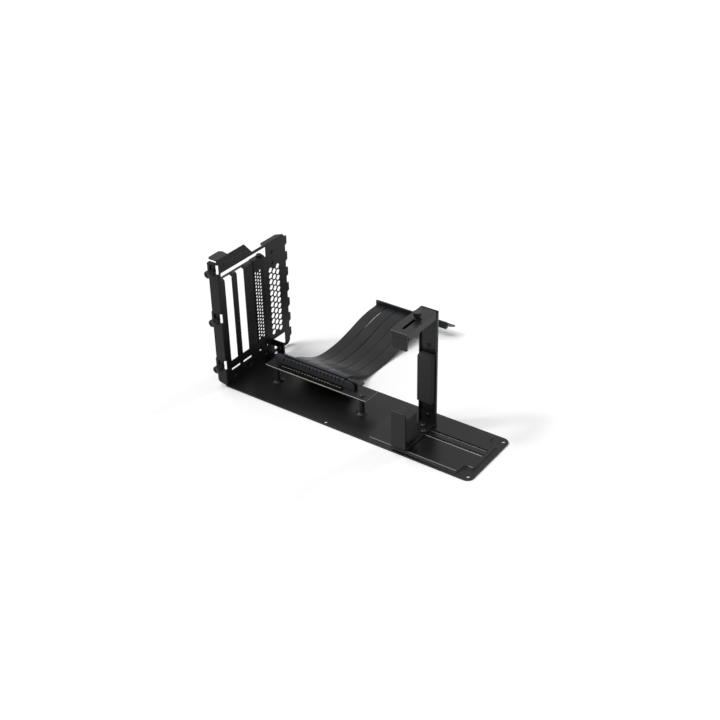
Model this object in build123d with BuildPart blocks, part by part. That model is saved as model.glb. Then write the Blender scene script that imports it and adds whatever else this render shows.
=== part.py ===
from build123d import *
import os
from math import sqrt, tan, radians

# Upright mount for a graphics card: a pressed base plate, a slot bracket standing at its
# left end, a riser board with its slot and flat cable, and a card support that slides along X.
# X = 0 is the face of the slot bracket, Y = 0 the middle of the base plate's width,
# Z = 0 the underside of the base plate. +X runs to the free end, +Y to the back.
# All sizes are in millimetres.

# Sheet metal
sheet = 1.2
foot_sheet = 1.5
bend_radius = 2.0

# Fits and clearances
slide_gap = 0.1
side_gap = 0.3
shank_gap = 0.08

# Base plate
base_length = 322.0
base_width = 86.0
base_corner_radius = 8.0
base_hole_radius = 2.0
corner_hole_inset_x = 6.0
corner_hole_inset_y = 6.5
edge_hole_x = 136.6
edge_hole_inset = 4.2
end_flange_height = 12.0
end_flange_inset = 7.0
foot_rivet_count = 3
foot_rivet_pitch = 28.0
foot_rivet_lift = 5.2

# Plateau pressed up in the base plate
plateau_height = 2.5
plateau_start = 191.0
plateau_end_inset = 5.0
plateau_side_inset = 4.2
plateau_taper = 35.0
notch_length = 11.5
notch_width = 14.0
notch_radius = 4.0

# Two guide slots in the plateau
guide_width = 3.2
guide_start = 200.0
guide_end = 313.0
guide_middle_y = 5.2
guide_pitch = 9.7

# Bosses under the riser board
boss_radius = 7.0
boss_top_radius = 5.0
boss_height = 2.0
board_post_x = 40.8
board_post_pitch = 118.4
board_post_y = -1.2

# Slot bracket
slot_pitch = 20.32
bracket_depth = 117.0
tall_top = 162.2
low_drop = 14.4
low_top = tall_top - low_drop
tall_end = 46.5
tall_slope_end = 59.0
bracket_corner = 4.0
slot_width = 12.3
slot_inset = 10.2
slot_bottom = 29.3
slot_count = 2
window_margin = 3.2
window_top = low_top - window_margin
window_depth = 9.4
ledge_top = window_top - window_depth
cover_slot_middle = 66.5
cover_slot_width = 14.4
cover_slot_margin = 9.2
cover_slot_top = ledge_top - cover_slot_margin
ledge_depth = 7.0
ledge_bend = 3.0
ledge_end = 79.4
ledge_cut = 4.5
ledge_hole_radius = 1.4
ledge_collar_radius = 2.1
ledge_collar_height = 1.3
ledge_hole_offset = 15.3
ledge_hole_x = -3.4
window_inset = 4.6
window_length = 77.8
tongue_slot_length = 16.0
tongue_slot_height = 3.0
tongue_slot_z = 18.4
tongue_shift = 1.2

# Teeth on the back edge of the bracket
tooth_height = 11.5
tooth_depth = 3.2
tooth_cut = 1.8
first_tooth_margin = 10.15
first_tooth_z = low_top - first_tooth_margin
tooth_count = int((first_tooth_z - tooth_height) / slot_pitch) + 1

# Honeycomb vents of the bracket
vent_pitch = 7.5
vent_flats = 6.3
vent_inset = 88.7
vent_bottom = 29.2

# Front flange of the bracket, its relief gaps and its seats for the thumbscrews
flange_depth = 13.5
flange_drop = 3.7
flange_top = tall_top - flange_drop
flange_foot = 3.2
fold_corner = 1.0
screw_count = 3
top_screw_margin = 12.0
top_screw_z = flange_top - top_screw_margin
bottom_screw_z = 24.58
screw_pitch = (top_screw_z - bottom_screw_z) / (screw_count - 1)
screw_x = -7.7
seat_depth = 1.5
seat_below = 6.0
seat_above = 9.6
seat_margin = 1.2
relief_width = 4.8
relief_below = 2.0

# Tabs and marks of the bracket
left_tab_length = 21.0
right_tab_start = 79.0
right_tab_end = 114.0
right_tab_depth = 6.5
rib_length = 40.0
rib_height = 4.2
rib_drop = 9.6
rib_z = tall_top - rib_drop
rib_middle = 30.0
rib_rise = 0.6
dimple_radius = 2.4
dimple_inset = 91.6
dimple_drop = 0.7
dimple_pitch = 14.0
dimple_z = (ledge_top - dimple_drop, ledge_top - dimple_drop - dimple_pitch)
vent_rows = int((dimple_z[1] - vent_bottom) / vent_pitch)

# Ear that ties the bracket to the back of the base plate
ear_window_length = 21.4
ear_window_bottom = 5.2
ear_window_top = 20.1
ear_length = 15.5
ear_bar_bottom = 12.0
ear_leg_start = 5.5
ear_screw_x = 10.5
ear_screw_z = 12.5

# Slot cover
cover_middle = 67.9
cover_width = 18.42
cover_sheet = 0.8
cover_bend = 2.3
cover_corner = 1.6
cover_tongue_width = 10.2
cover_taper_top = 28.0
cover_taper_bottom = 24.0
cover_hole_middle = 65.1
cover_hole_pitch = 4.26
cover_hole_column = 4.0
cover_hole_radius = 1.6
cover_hole_bottom = 34.8
cover_hole_rows = int((cover_slot_top - cover_hole_bottom) / cover_hole_pitch)
cover_screw_x = -2.8
cover_screw_place = 73.0
cover_screw_length = 4.5

# Screws
thumb_head_radius = 4.3
thumb_head_length = 5.2
thumb_collar_radius = 2.9
thumb_reach = 10.4
thumb_shank_radius = 1.75
thumb_shank_length = 3.0
thumb_grooves = 14
thumb_groove_depth = 0.35
thumb_recess = 1.0
thumb_recess_radius = 2.7
pan_head_radius = 3.6
pan_head_height = 2.4
pan_cross = 3.0
m3_radius = 1.45
m3_head_radius = 3.0
m3_head_height = 2.0
m3_cross = 2.6
m3_thread_depth = 5.0
foot_screw_head_radius = 2.8
foot_screw_head_height = 2.2

# Riser board
board_length = 140.0
board_width = 23.6
board_sheet = 1.6
board_top = 23.2
board_start = 29.4
board_front = -8.4
board_corner = 1.0
standoff_flats = 5.6
standoff_bore_depth = 6.0

# Slot on the riser board
slot_body_start = 45.4
slot_body_length = 89.0
slot_body_width = 7.6
slot_body_height = 11.25
slot_body_middle = 3.4
slot_block_length = 8.6
slot_block_drop = 1.6
slot_block_corner = 2.6
mouth_width = 1.8
mouth_depth = 8.6
mouth_margin = 3.3
mouth_lead_in = 0.8
mouth_lead_in_angle = 45.0
key_start = 11.6
key_length = 1.9
flank_notch_count = 16
flank_notch_width = 1.1
flank_notch_depth = 0.9
flank_notch_height = 3.6
tail_step_depth = 0.8
tail_step_height = 2.2
tail_count = 41
tail_width = 0.7
tail_length = 1.7
tail_height = 0.5
latch_pin_inset = 4.0

# Latch at the end of the slot
cheek_length = 13.6
cheek_thickness = 1.9
cheek_drop = 1.2
cheek_chamfer = 3.0
latch_pin_radius = 1.2
latch_pin_x = 141.0
latch_pin_z = 29.4
latch_lever_length = 12.0
latch_lever_sheet = 2.0
latch_hub_radius = 3.4
latch_hook_rise = 0.8
latch_throat = 1.0
latch_lever_flare = 1.5

# Flat cable from the riser board to its plug
strip_count = 5
strip_width = 14.6
strip_pitch = 15.0
strip_start = 48.8
strip_thickness = 1.2

# The cable's route, (Y, Z) of its middle layer: out over the back of the riser board, down to
# the surface that the mount stands on and up again to the plug
cable_route = (
    (10.5, 24.0),
    (18.5, 23.8),
    (31.5, 18.8),
    (45.0, 10.6),
    (58.5, 4.0),
    (75.0, 1.1),
    (93.5, 0.75),
    (112.0, 2.6),
    (130.0, 6.6),
    (148.0, 11.0),
    (164.0, 13.7),
    (178.0, 14.6),
    (189.6, 14.7),
)

# Plug of the flat cable
plug_start = 47.4
plug_length = 102.8
plug_depth = 4.2
plug_bottom = 11.4
plug_height = 9.0
plug_wall = 2.0
plug_entry = 1.0
finger_reach = 6.8
finger_drop = 1.5
finger_start_inset = 3.0
finger_length = 84.0
finger_pitch = 2.0
finger_width = 1.3
finger_skin = 0.08
finger_root_length = 1.0
finger_end_margin = 2.0
finger_tip_chamfer = 0.8
hook_reach = 6.4
hook_gap = 2.4

# Card support
support_left = 222.0
support_width = 21.9
post_depth = 4.2
post_front = 15.6
post_top = 146.2
foot_front = -40.6
foot_wall_height = 46.5
foot_tab_height = 16.0
post_rivet_lift = 9.6
foot_side_inset = 0.65
foot_corner_cut = 1.0
foot_screw_x = 238.6
foot_screw_step = 6.4
nut_plate_length = 26.0
nut_plate_width = 22.0
nut_plate_sheet = 1.5
nut_plate_corner = 2.0

# Pads of the card support
foot_pad_depth = 23.0
foot_pad_height = 30.0
foot_pad_lift = 6.0
foot_pad_width = 13.0
foot_pad_right_inset = 0.6
post_pad_height = 58.6
post_pad_bottom = 35.1
post_pad_stand = 7.0
pad_chamfer = 1.6
pad_gap = 0.2

# Arm at the top of the post
arm_front = -39.4
arm_top = 146.7
arm_flange_height = 8.0
arm_nose_height = 4.6
arm_nose_cut = 4.5
arm_leg_bottom = 99.6
arm_leg_radius = 4.0
arm_overhang = 0.6
arm_leg_inset = 0.8
arm_rivet_z = 104.0
arm_slot_front = -31.6
arm_slot_length = 33.0
arm_slot_width = 3.6

# Jaw under the arm
jaw_front = -38.0
jaw_lip_bottom = 126.0
jaw_plate_length = 42.0
jaw_pad_top_depth = 3.6
jaw_pad_foot_depth = 1.6
jaw_pad_height = 12.4
jaw_screw_y = -5.2
jaw_collar_height = 1.8
jaw_head_length = 4.6
jaw_lip_inset = 1.0
jaw_nut_radius = 4.0
jaw_spigot_radius = 3.0
jaw_washer_radius = 4.9
jaw_washer_height = 0.8

# Rivets
rivet_radius = 1.6
rivet_head_radius = 2.7
rivet_head_height = 0.9
rivet_head_taper = 40.0

front = -base_width / 2
back = base_width / 2
floor_top = sheet
plateau_top = sheet + plateau_height


def sheet_plane_x(x):
    """A plane square to X, drawn with Y to the right and Z up; it extrudes towards +X."""
    return Plane.YZ.offset(x)


def sheet_plane_y(y):
    """A plane square to Y, drawn with X to the right and Z up; it extrudes towards -Y."""
    return Plane.XZ.offset(-y)


def save(part, label):
    """Name a finished piece and write it."""
    part.label = label
    export_step(part, f"parts/{label}.step")


os.makedirs("parts", exist_ok=True)

# Base plate: outline with rounded free corners
plateau_end = base_length - plateau_end_inset
plateau_front = front + plateau_side_inset
plateau_back = back - plateau_side_inset
base_start = -2 * sheet
board_post_places = [
    (board_post_x, board_post_y),
    (board_post_x + board_post_pitch, board_post_y),
]
base_hole_places = [
    (edge_hole_x, front + edge_hole_inset),
    (base_length - corner_hole_inset_x, front + corner_hole_inset_y),
    (base_length - corner_hole_inset_x, back - corner_hole_inset_y),
]
foot_rivet_z = floor_top + foot_rivet_lift


def plateau_outline(z):
    """The plateau's outline, with a notch round each corner hole, as a sketch at height z."""
    with BuildSketch(Plane.XY.offset(z)) as outline:
        with BuildLine():
            Polyline(
                (plateau_start, plateau_front),
                (plateau_end - notch_length, plateau_front),
                (plateau_end - notch_length, plateau_front + notch_width),
                (plateau_end, plateau_front + notch_width),
                (plateau_end, plateau_back - notch_width),
                (plateau_end - notch_length, plateau_back - notch_width),
                (plateau_end - notch_length, plateau_back),
                (plateau_start, plateau_back),
                close=True,
            )
        make_face()
        fillet(outline.vertices(), notch_radius)
    return outline


with BuildPart() as base_plate:
    with BuildSketch() as base_outline:
        with BuildLine():
            Polyline(
                (base_start, front),
                (base_length, front),
                (base_length, back),
                (base_start, back),
                close=True,
            )
        make_face()
        fillet(base_outline.vertices().group_by(Axis.X)[-1], base_corner_radius)
    extrude(amount=sheet)
    # The plateau stands proud by its height, and its hollow below keeps the sheet's thickness
    extrude(plateau_outline(sheet).sketch, amount=plateau_height, taper=plateau_taper)
    extrude(
        plateau_outline(0).sketch,
        amount=plateau_height,
        taper=plateau_taper,
        mode=Mode.SUBTRACT,
    )
    # Bosses that carry the riser board, hollow below for the heads of their screws
    for boss_place in board_post_places:
        with Locations((*boss_place, sheet)):
            Cone(boss_radius, boss_top_radius, boss_height, align=(Align.CENTER, Align.CENTER, Align.MIN))
    for boss_place in board_post_places:
        with Locations(boss_place):
            Cone(
                boss_radius - sheet / 2,
                boss_top_radius - sheet / 2,
                boss_height,
                align=(Align.CENTER, Align.CENTER, Align.MIN),
                mode=Mode.SUBTRACT,
            )
    with BuildSketch(Plane.XY.offset(boss_height)) as boss_holes:
        with Locations(*board_post_places):
            Circle(m3_radius + side_gap)
    extrude(amount=sheet, mode=Mode.SUBTRACT)
    # Mounting holes at the front edge and in the free corners
    with BuildSketch() as base_holes:
        with Locations(*base_hole_places):
            Circle(base_hole_radius)
    extrude(amount=sheet, mode=Mode.SUBTRACT)
    # Guide slots
    with BuildSketch(Plane.XY.offset(plateau_height)) as guides:
        with Locations(((guide_start + guide_end) / 2, guide_middle_y)):
            with GridLocations(0, guide_pitch, 1, 2):
                SlotOverall(guide_end - guide_start, guide_width)
    extrude(amount=sheet, mode=Mode.SUBTRACT)
    # Upturned flange behind the foot of the bracket
    with BuildSketch(sheet_plane_x(base_start)) as end_flange:
        with Locations((0, end_flange_height / 2)):
            Rectangle(base_width - 2 * end_flange_inset, end_flange_height)
        with Locations((0, foot_rivet_z)):
            with GridLocations(foot_rivet_pitch, 0, foot_rivet_count, 1):
                Circle(rivet_radius + shank_gap, mode=Mode.SUBTRACT)
    extrude(amount=sheet)
    # Upturned tab that takes the ear's screw
    with BuildSketch(sheet_plane_y(back)) as back_tab:
        with BuildLine():
            Polyline(
                (ear_leg_start, 0),
                (ear_length, 0),
                (ear_length, ear_window_top - sheet),
                (ear_leg_start, ear_window_top - sheet),
                close=True,
            )
        make_face()
        fillet(back_tab.vertices().group_by(Axis.Z)[-1], bend_radius)
        with Locations((ear_screw_x, ear_screw_z)):
            Circle(m3_radius + shank_gap, mode=Mode.SUBTRACT)
    extrude(amount=sheet)
save(base_plate.part, "base_plate")

# Slot bracket
slot_edges = [front + slot_inset + slot_pitch * i for i in range(slot_count)]
cover_y = front + cover_middle
tongue_places = [(edge + slot_width / 2 + tongue_shift, tongue_slot_z) for edge in slot_edges]
tongue_places.append((cover_y, tongue_slot_z))
ledge_hole_places = [(ledge_hole_x, edge + ledge_hole_offset) for edge in slot_edges]
cover_screw_y = front + cover_screw_place
ledge_hole_places.append((cover_screw_x, cover_screw_y))
window_bottom = ledge_top - ledge_bend
screw_heights = [top_screw_z - screw_pitch * i for i in range(screw_count)]
ear_face = back
ear_window_start = back + sheet
bracket_back = front + bracket_depth

with BuildPart() as slot_bracket:
    with BuildSketch(sheet_plane_x(0)) as bracket_outline:
        with BuildLine():
            Polyline(
                (front, floor_top),
                (bracket_back - bracket_corner, floor_top),
                (bracket_back, floor_top + bracket_corner),
                (bracket_back, low_top - bracket_corner),
                (bracket_back - bracket_corner, low_top),
                (front + tall_slope_end, low_top),
                (front + tall_end, tall_top),
                (front, tall_top),
                close=True,
            )
        make_face()
        # Teeth at the pitch of the case's slots
        for i in range(tooth_count):
            tooth_z = first_tooth_z - slot_pitch * i
            with BuildLine():
                Polyline(
                    (bracket_back, tooth_z + tooth_height / 2),
                    (bracket_back + tooth_depth, tooth_z + tooth_height / 2),
                    (bracket_back + tooth_depth, tooth_z - tooth_height / 2 + tooth_cut),
                    (bracket_back, tooth_z - tooth_height / 2),
                    close=True,
                )
            make_face()
        # Openings for the card's two slots, and a shorter one under the slot cover
        for edge in slot_edges:
            with Locations((edge + slot_width / 2, (slot_bottom + ledge_top) / 2)):
                Rectangle(slot_width, ledge_top - slot_bottom, mode=Mode.SUBTRACT)
        with Locations((front + cover_slot_middle, (slot_bottom + cover_slot_top) / 2)):
            Rectangle(cover_slot_width, cover_slot_top - slot_bottom, mode=Mode.SUBTRACT)
        with Locations(*tongue_places):
            SlotOverall(tongue_slot_length, tongue_slot_height, mode=Mode.SUBTRACT)
        # Long window over the ledge
        with Locations(
            (front + window_inset + window_length / 2, (window_bottom + window_top) / 2)
        ):
            Rectangle(window_length, window_top - window_bottom, mode=Mode.SUBTRACT)
        # Window that the ear was bent out of
        with Locations(
            (
                ear_window_start + ear_window_length / 2,
                (ear_window_bottom + ear_window_top) / 2,
            )
        ):
            Rectangle(
                ear_window_length,
                ear_window_top - ear_window_bottom,
                mode=Mode.SUBTRACT,
            )
        # Honeycomb vents in three columns
        vent_middle = front + vent_inset + vent_pitch * sqrt(3) / 2
        vent_middle_z = vent_bottom + vent_pitch * (vent_rows - 1) / 2
        with Locations((vent_middle, vent_middle_z)):
            with GridLocations(vent_pitch * sqrt(3), vent_pitch, 2, vent_rows):
                RegularPolygon(vent_flats / sqrt(3), 6, mode=Mode.SUBTRACT)
            with GridLocations(0, vent_pitch, 1, vent_rows - 1):
                RegularPolygon(vent_flats / sqrt(3), 6, mode=Mode.SUBTRACT)
        with Locations((0, foot_rivet_z)):
            with GridLocations(foot_rivet_pitch, 0, foot_rivet_count, 1):
                Circle(rivet_radius + shank_gap, mode=Mode.SUBTRACT)
    extrude(amount=-sheet)
    # Front flange, with an ear standing out beside each screw's seat
    with BuildSketch(sheet_plane_y(front)) as flange_outline:
        with BuildLine():
            Polyline(
                (0, floor_top),
                (0, flange_top),
                (-flange_depth + bend_radius, flange_top),
                (-flange_depth, flange_top - bend_radius),
                (-flange_depth, flange_foot + bend_radius),
                (-flange_depth + bend_radius, flange_foot),
                close=True,
            )
        make_face()
        for z in screw_heights:
            with Locations(
                (-flange_depth, z + (seat_above - seat_below) / 2)
            ):
                Rectangle(2 * seat_margin, seat_above + seat_below)
    extrude(amount=-sheet)
    # Seats pressed back in the flange, free at the relief gap beside the fold
    seat_length = flange_depth - seat_margin - relief_width
    seat_middle_x = -relief_width - seat_length / 2
    for z in screw_heights:
        with BuildSketch(sheet_plane_y(front + sheet)) as seat_back:
            with Locations((seat_middle_x, z + (seat_above - seat_below) / 2)):
                Rectangle(seat_length, seat_above + seat_below)
        extrude(amount=-seat_depth)
        with BuildSketch(sheet_plane_y(front)) as seat_front:
            with Locations((seat_middle_x + sheet / 2, z + (seat_above - seat_below) / 2)):
                Rectangle(seat_length - sheet, seat_above + seat_below - 2 * sheet)
        extrude(amount=-seat_depth, mode=Mode.SUBTRACT)
        with BuildSketch(sheet_plane_y(front)) as seat_hole:
            with Locations((screw_x, z)):
                Circle(thumb_shank_radius + shank_gap)
        extrude(amount=-(seat_depth + sheet), mode=Mode.SUBTRACT)
        # Relief gap at the fold
        with BuildSketch(sheet_plane_y(front)) as relief:
            with Locations(
                (-relief_width / 2, z + (seat_above - relief_below) / 2)
            ):
                Rectangle(relief_width, seat_above + relief_below)
        extrude(amount=-(sheet + seat_depth), mode=Mode.SUBTRACT)
    # Ledge that the card's own bracket is screwed down on, bent back below the window
    with BuildSketch(sheet_plane_y(front + ledge_end)) as ledge_profile:
        with BuildLine():
            FilletPolyline(
                (0, ledge_top - 2 * ledge_bend),
                (0, ledge_top),
                (-ledge_depth, ledge_top),
                radius=ledge_bend,
            )
            offset(amount=sheet, side=Side.LEFT)
        make_face()
    extrude(amount=ledge_end - window_inset)
    # The card's slots run on through the bend and into the ledge
    with BuildSketch(Plane.XY.offset(ledge_top)) as ledge_cuts:
        for edge in slot_edges:
            with Locations((-ledge_cut / 2, edge + slot_width / 2)):
                Rectangle(ledge_cut, slot_width)
    extrude(amount=-2 * ledge_bend, mode=Mode.SUBTRACT)
    # Collars drawn down round the ledge's tapped holes
    with BuildSketch(Plane.XY.offset(ledge_top - sheet / 2)) as ledge_collars:
        with Locations(*ledge_hole_places):
            Circle(ledge_collar_radius)
    extrude(amount=-(sheet / 2 + ledge_collar_height))
    with BuildSketch(Plane.XY.offset(ledge_top)) as ledge_holes:
        with Locations(*ledge_hole_places):
            Circle(ledge_hole_radius)
    extrude(amount=-(sheet + ledge_collar_height), mode=Mode.SUBTRACT)
    # Tab folded back at the top of the tall part
    with BuildSketch(Plane.XY.offset(tall_top - sheet)) as left_tab:
        with BuildLine():
            Polyline(
                (0, front),
                (0, front + left_tab_length - bend_radius),
                (-flange_depth + 2 * bend_radius, front + left_tab_length),
                (-flange_depth, front + left_tab_length - bend_radius),
                (-flange_depth, front + 2 * sheet),
                (-flange_depth + bend_radius, front),
                close=True,
            )
        make_face()
    extrude(amount=sheet)
    # Tab folded back at the top of the low part
    with BuildSketch(Plane.XY.offset(low_top - sheet)) as right_tab:
        with BuildLine():
            Polyline(
                (0, front + right_tab_start),
                (0, front + right_tab_end),
                (-right_tab_depth, front + right_tab_end - right_tab_depth),
                (-right_tab_depth, front + right_tab_start + bend_radius),
                (-right_tab_depth + bend_radius, front + right_tab_start),
                close=True,
            )
        make_face()
    extrude(amount=sheet)
    # Ear bent out of its window towards the card side
    with BuildSketch(sheet_plane_y(ear_face)) as ear:
        with BuildLine():
            Polyline(
                (-sheet, ear_bar_bottom),
                (ear_leg_start, ear_bar_bottom),
                (ear_leg_start, ear_window_bottom),
                (ear_length, ear_window_bottom),
                (ear_length, ear_window_top),
                (-sheet, ear_window_top),
                close=True,
            )
        make_face()
        with Locations((ear_screw_x, ear_screw_z)):
            Circle(m3_radius + shank_gap, mode=Mode.SUBTRACT)
    extrude(amount=-sheet)
    # Pressed rib and its end mark, and two round dimples
    with BuildSketch(sheet_plane_x(0)) as rib:
        with Locations((front + rib_middle, rib_z)):
            SlotOverall(rib_length, rib_height)
    extrude(amount=rib_rise, taper=plateau_taper)
    with BuildSketch(sheet_plane_x(0)) as dimples:
        with Locations(*[(front + dimple_inset, z) for z in dimple_z]):
            Circle(dimple_radius)
    extrude(amount=-rib_rise, taper=plateau_taper, mode=Mode.SUBTRACT)
    # Outer corners of the folds
    fold_edges = (
        slot_bracket.edges()
        .filter_by(Axis.Z)
        .filter_by_position(Axis.X, -0.01, 0.01)
        .filter_by_position(Axis.Y, front - 0.01, front + 0.01)
    )
    fillet(fold_edges, fold_corner)
save(slot_bracket.part, "slot_bracket")

# Rivets through the bracket's foot and the flange behind it
with BuildPart() as foot_rivets:
    with BuildSketch(sheet_plane_x(base_start)) as foot_rivet_shanks:
        with Locations((0, foot_rivet_z)):
            with GridLocations(foot_rivet_pitch, 0, foot_rivet_count, 1):
                Circle(rivet_radius)
    extrude(amount=2 * sheet)
    for rivet_face, rivet_rise in ((0, rivet_head_height), (base_start, -rivet_head_height)):
        with BuildSketch(sheet_plane_x(rivet_face)) as foot_rivet_heads:
            with Locations((0, foot_rivet_z)):
                with GridLocations(foot_rivet_pitch, 0, foot_rivet_count, 1):
                    Circle(rivet_head_radius)
        extrude(amount=rivet_rise, taper=rivet_head_taper)
save(foot_rivets.part, "foot_rivets")


# Pan-head screws, made at the origin with the head up and the shank down
def pan_screw(head_radius, head_height, shank_radius, shank_length, cross_size):
    """A pan-head screw on Z, its head's underside at Z = 0, with a cross recess."""
    with BuildPart() as screw:
        Cylinder(head_radius, head_height, align=(Align.CENTER, Align.CENTER, Align.MIN))
        chamfer(screw.faces().sort_by(Axis.Z)[-1].edges(), head_height / 3)
        Cylinder(shank_radius, shank_length, align=(Align.CENTER, Align.CENTER, Align.MAX))
        with BuildSketch(Plane.XY.offset(head_height)) as cross:
            Rectangle(cross_size, cross_size / 4)
            Rectangle(cross_size / 4, cross_size)
        extrude(amount=-head_height / 2, mode=Mode.SUBTRACT)
    return screw.part


with BuildPart() as ear_screw:
    with Locations(Plane((ear_screw_x, back - sheet, ear_screw_z), x_dir=(1, 0, 0), z_dir=(0, -1, 0))):
        add(pan_screw(m3_head_radius, m3_head_height, m3_radius, 3 * sheet, m3_cross))
save(ear_screw.part, "ear_screw")

# Slot cover: a perforated strip bent over the ledge, with a tongue in the slot below
cover_bottom = tongue_slot_z - cover_sheet / 2
cover_top = ledge_top + cover_sheet
with BuildPart() as slot_cover:
    with BuildSketch(sheet_plane_y(cover_y + cover_width / 2)) as cover_profile:
        with BuildLine():
            FilletPolyline(
                (0, cover_taper_top),
                (0, ledge_top),
                (-ledge_depth, ledge_top),
                radius=cover_bend,
            )
            offset(amount=cover_sheet, side=Side.RIGHT)
        make_face()
    extrude(amount=cover_width)
    # Lower end, narrowed to the width of the tongue
    with BuildSketch(sheet_plane_x(0)) as cover_end:
        with BuildLine():
            Polyline(
                (cover_y - cover_tongue_width / 2, cover_bottom),
                (cover_y + cover_tongue_width / 2, cover_bottom),
                (cover_y + cover_tongue_width / 2, cover_taper_bottom),
                (cover_y + cover_width / 2, cover_taper_top),
                (cover_y - cover_width / 2, cover_taper_top),
                (cover_y - cover_tongue_width / 2, cover_taper_bottom),
                close=True,
            )
        make_face()
    extrude(amount=cover_sheet)
    with BuildSketch(Plane.XY.offset(cover_bottom)) as tongue:
        with Locations((-sheet, cover_y)):
            Rectangle(2 * sheet + 2 * cover_sheet, cover_tongue_width)
    extrude(amount=cover_sheet)
    # Vents in three staggered columns
    with BuildSketch(sheet_plane_x(0)) as cover_vents:
        cover_vent_middle_z = cover_hole_bottom + cover_hole_pitch * (cover_hole_rows - 1) / 2
        with Locations((front + cover_hole_middle, cover_vent_middle_z)):
            with GridLocations(2 * cover_hole_column, cover_hole_pitch, 2, cover_hole_rows):
                RegularPolygon(cover_hole_radius, 6)
            with GridLocations(0, cover_hole_pitch, 1, cover_hole_rows - 1):
                RegularPolygon(cover_hole_radius, 6)
    extrude(amount=cover_sheet, mode=Mode.SUBTRACT)
    # Free corners of the tab, and the hole for its screw
    chamfer(slot_cover.edges().filter_by(Axis.Z).group_by(Axis.X)[0], cover_corner)
    with BuildSketch(Plane.XY.offset(cover_top)) as cover_tab_hole:
        with Locations((cover_screw_x, cover_screw_y)):
            Circle(ledge_hole_radius + side_gap)
    extrude(amount=-ledge_bend, mode=Mode.SUBTRACT)
save(slot_cover.part, "slot_cover")

with BuildPart() as cover_screw:
    with Locations((cover_screw_x, cover_screw_y, cover_top)):
        add(
            pan_screw(
                pan_head_radius,
                pan_head_height,
                ledge_hole_radius - shank_gap,
                cover_screw_length,
                pan_cross,
            )
        )
save(cover_screw.part, "cover_screw")


# Thumbscrews
def thumbscrew(reach, shank_length):
    """A knurled screw on Z: shank below Z = 0, collar above it, head up to the reach."""
    with BuildPart() as screw:
        with BuildSketch(Plane.XY.offset(reach - thumb_head_length)) as head:
            Circle(thumb_head_radius)
            with PolarLocations(thumb_head_radius, thumb_grooves):
                RegularPolygon(thumb_groove_depth * 2, 4, mode=Mode.SUBTRACT)
        extrude(amount=thumb_head_length)
        with BuildSketch(Plane.XY.offset(reach)) as recess:
            Circle(thumb_recess_radius)
        extrude(amount=-thumb_recess, mode=Mode.SUBTRACT)
        with BuildSketch() as collar:
            Circle(thumb_collar_radius)
        extrude(amount=reach - thumb_head_length)
        with BuildSketch() as shank:
            Circle(thumb_shank_radius)
        extrude(amount=-shank_length)
    return screw.part


thumb_seat_y = front + seat_depth
for name, z in zip(("top_thumbscrew", "middle_thumbscrew", "bottom_thumbscrew"), screw_heights):
    with BuildPart() as side_thumbscrew:
        with Locations(Plane((screw_x, thumb_seat_y - slide_gap, z), x_dir=(1, 0, 0), z_dir=(0, -1, 0))):
            add(thumbscrew(thumb_reach, thumb_shank_length))
    save(side_thumbscrew.part, name)

# Riser board
board_end = board_start + board_length
board_back = board_front + board_width
board_bottom = board_top - board_sheet
with BuildPart() as riser_board:
    with BuildSketch(Plane.XY.offset(board_bottom)) as board_outline:
        with Locations(((board_start + board_end) / 2, (board_front + board_back) / 2)):
            RectangleRounded(board_length, board_width, board_corner)
        with Locations(*board_post_places):
            Circle(m3_radius + shank_gap, mode=Mode.SUBTRACT)
    extrude(amount=board_sheet)
save(riser_board.part, "riser_board")

boss_top = sheet + boss_height
with BuildPart() as riser_standoffs:
    with BuildSketch(Plane.XY.offset(boss_top)) as standoff_section:
        with Locations(*board_post_places):
            RegularPolygon(standoff_flats / sqrt(3), 6)
    extrude(amount=board_bottom - boss_top)
    with BuildSketch(Plane.XY.offset(boss_top)) as standoff_lower_holes:
        with Locations(*board_post_places):
            Circle(m3_radius + shank_gap)
    extrude(amount=standoff_bore_depth, mode=Mode.SUBTRACT)
    with BuildSketch(Plane.XY.offset(board_bottom)) as standoff_upper_hole:
        with Locations(board_post_places[1]):
            Circle(m3_radius + shank_gap)
    extrude(amount=-standoff_bore_depth, mode=Mode.SUBTRACT)
save(riser_standoffs.part, "riser_standoffs")

with BuildPart() as standoff_screws:
    for x, y in board_post_places:
        with Locations(Plane((x, y, boss_height), x_dir=(1, 0, 0), z_dir=(0, 0, -1))):
            add(
                pan_screw(
                    m3_head_radius,
                    boss_height - 2 * slide_gap,
                    m3_radius,
                    sheet + m3_thread_depth,
                    m3_cross,
                )
            )
save(standoff_screws.part, "standoff_screws")

with BuildPart() as board_screw:
    with Locations((*board_post_places[1], board_top)):
        add(
            pan_screw(
                m3_head_radius,
                m3_head_height,
                m3_radius,
                board_sheet + m3_thread_depth,
                m3_cross,
            )
        )
save(board_screw.part, "board_screw")

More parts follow.
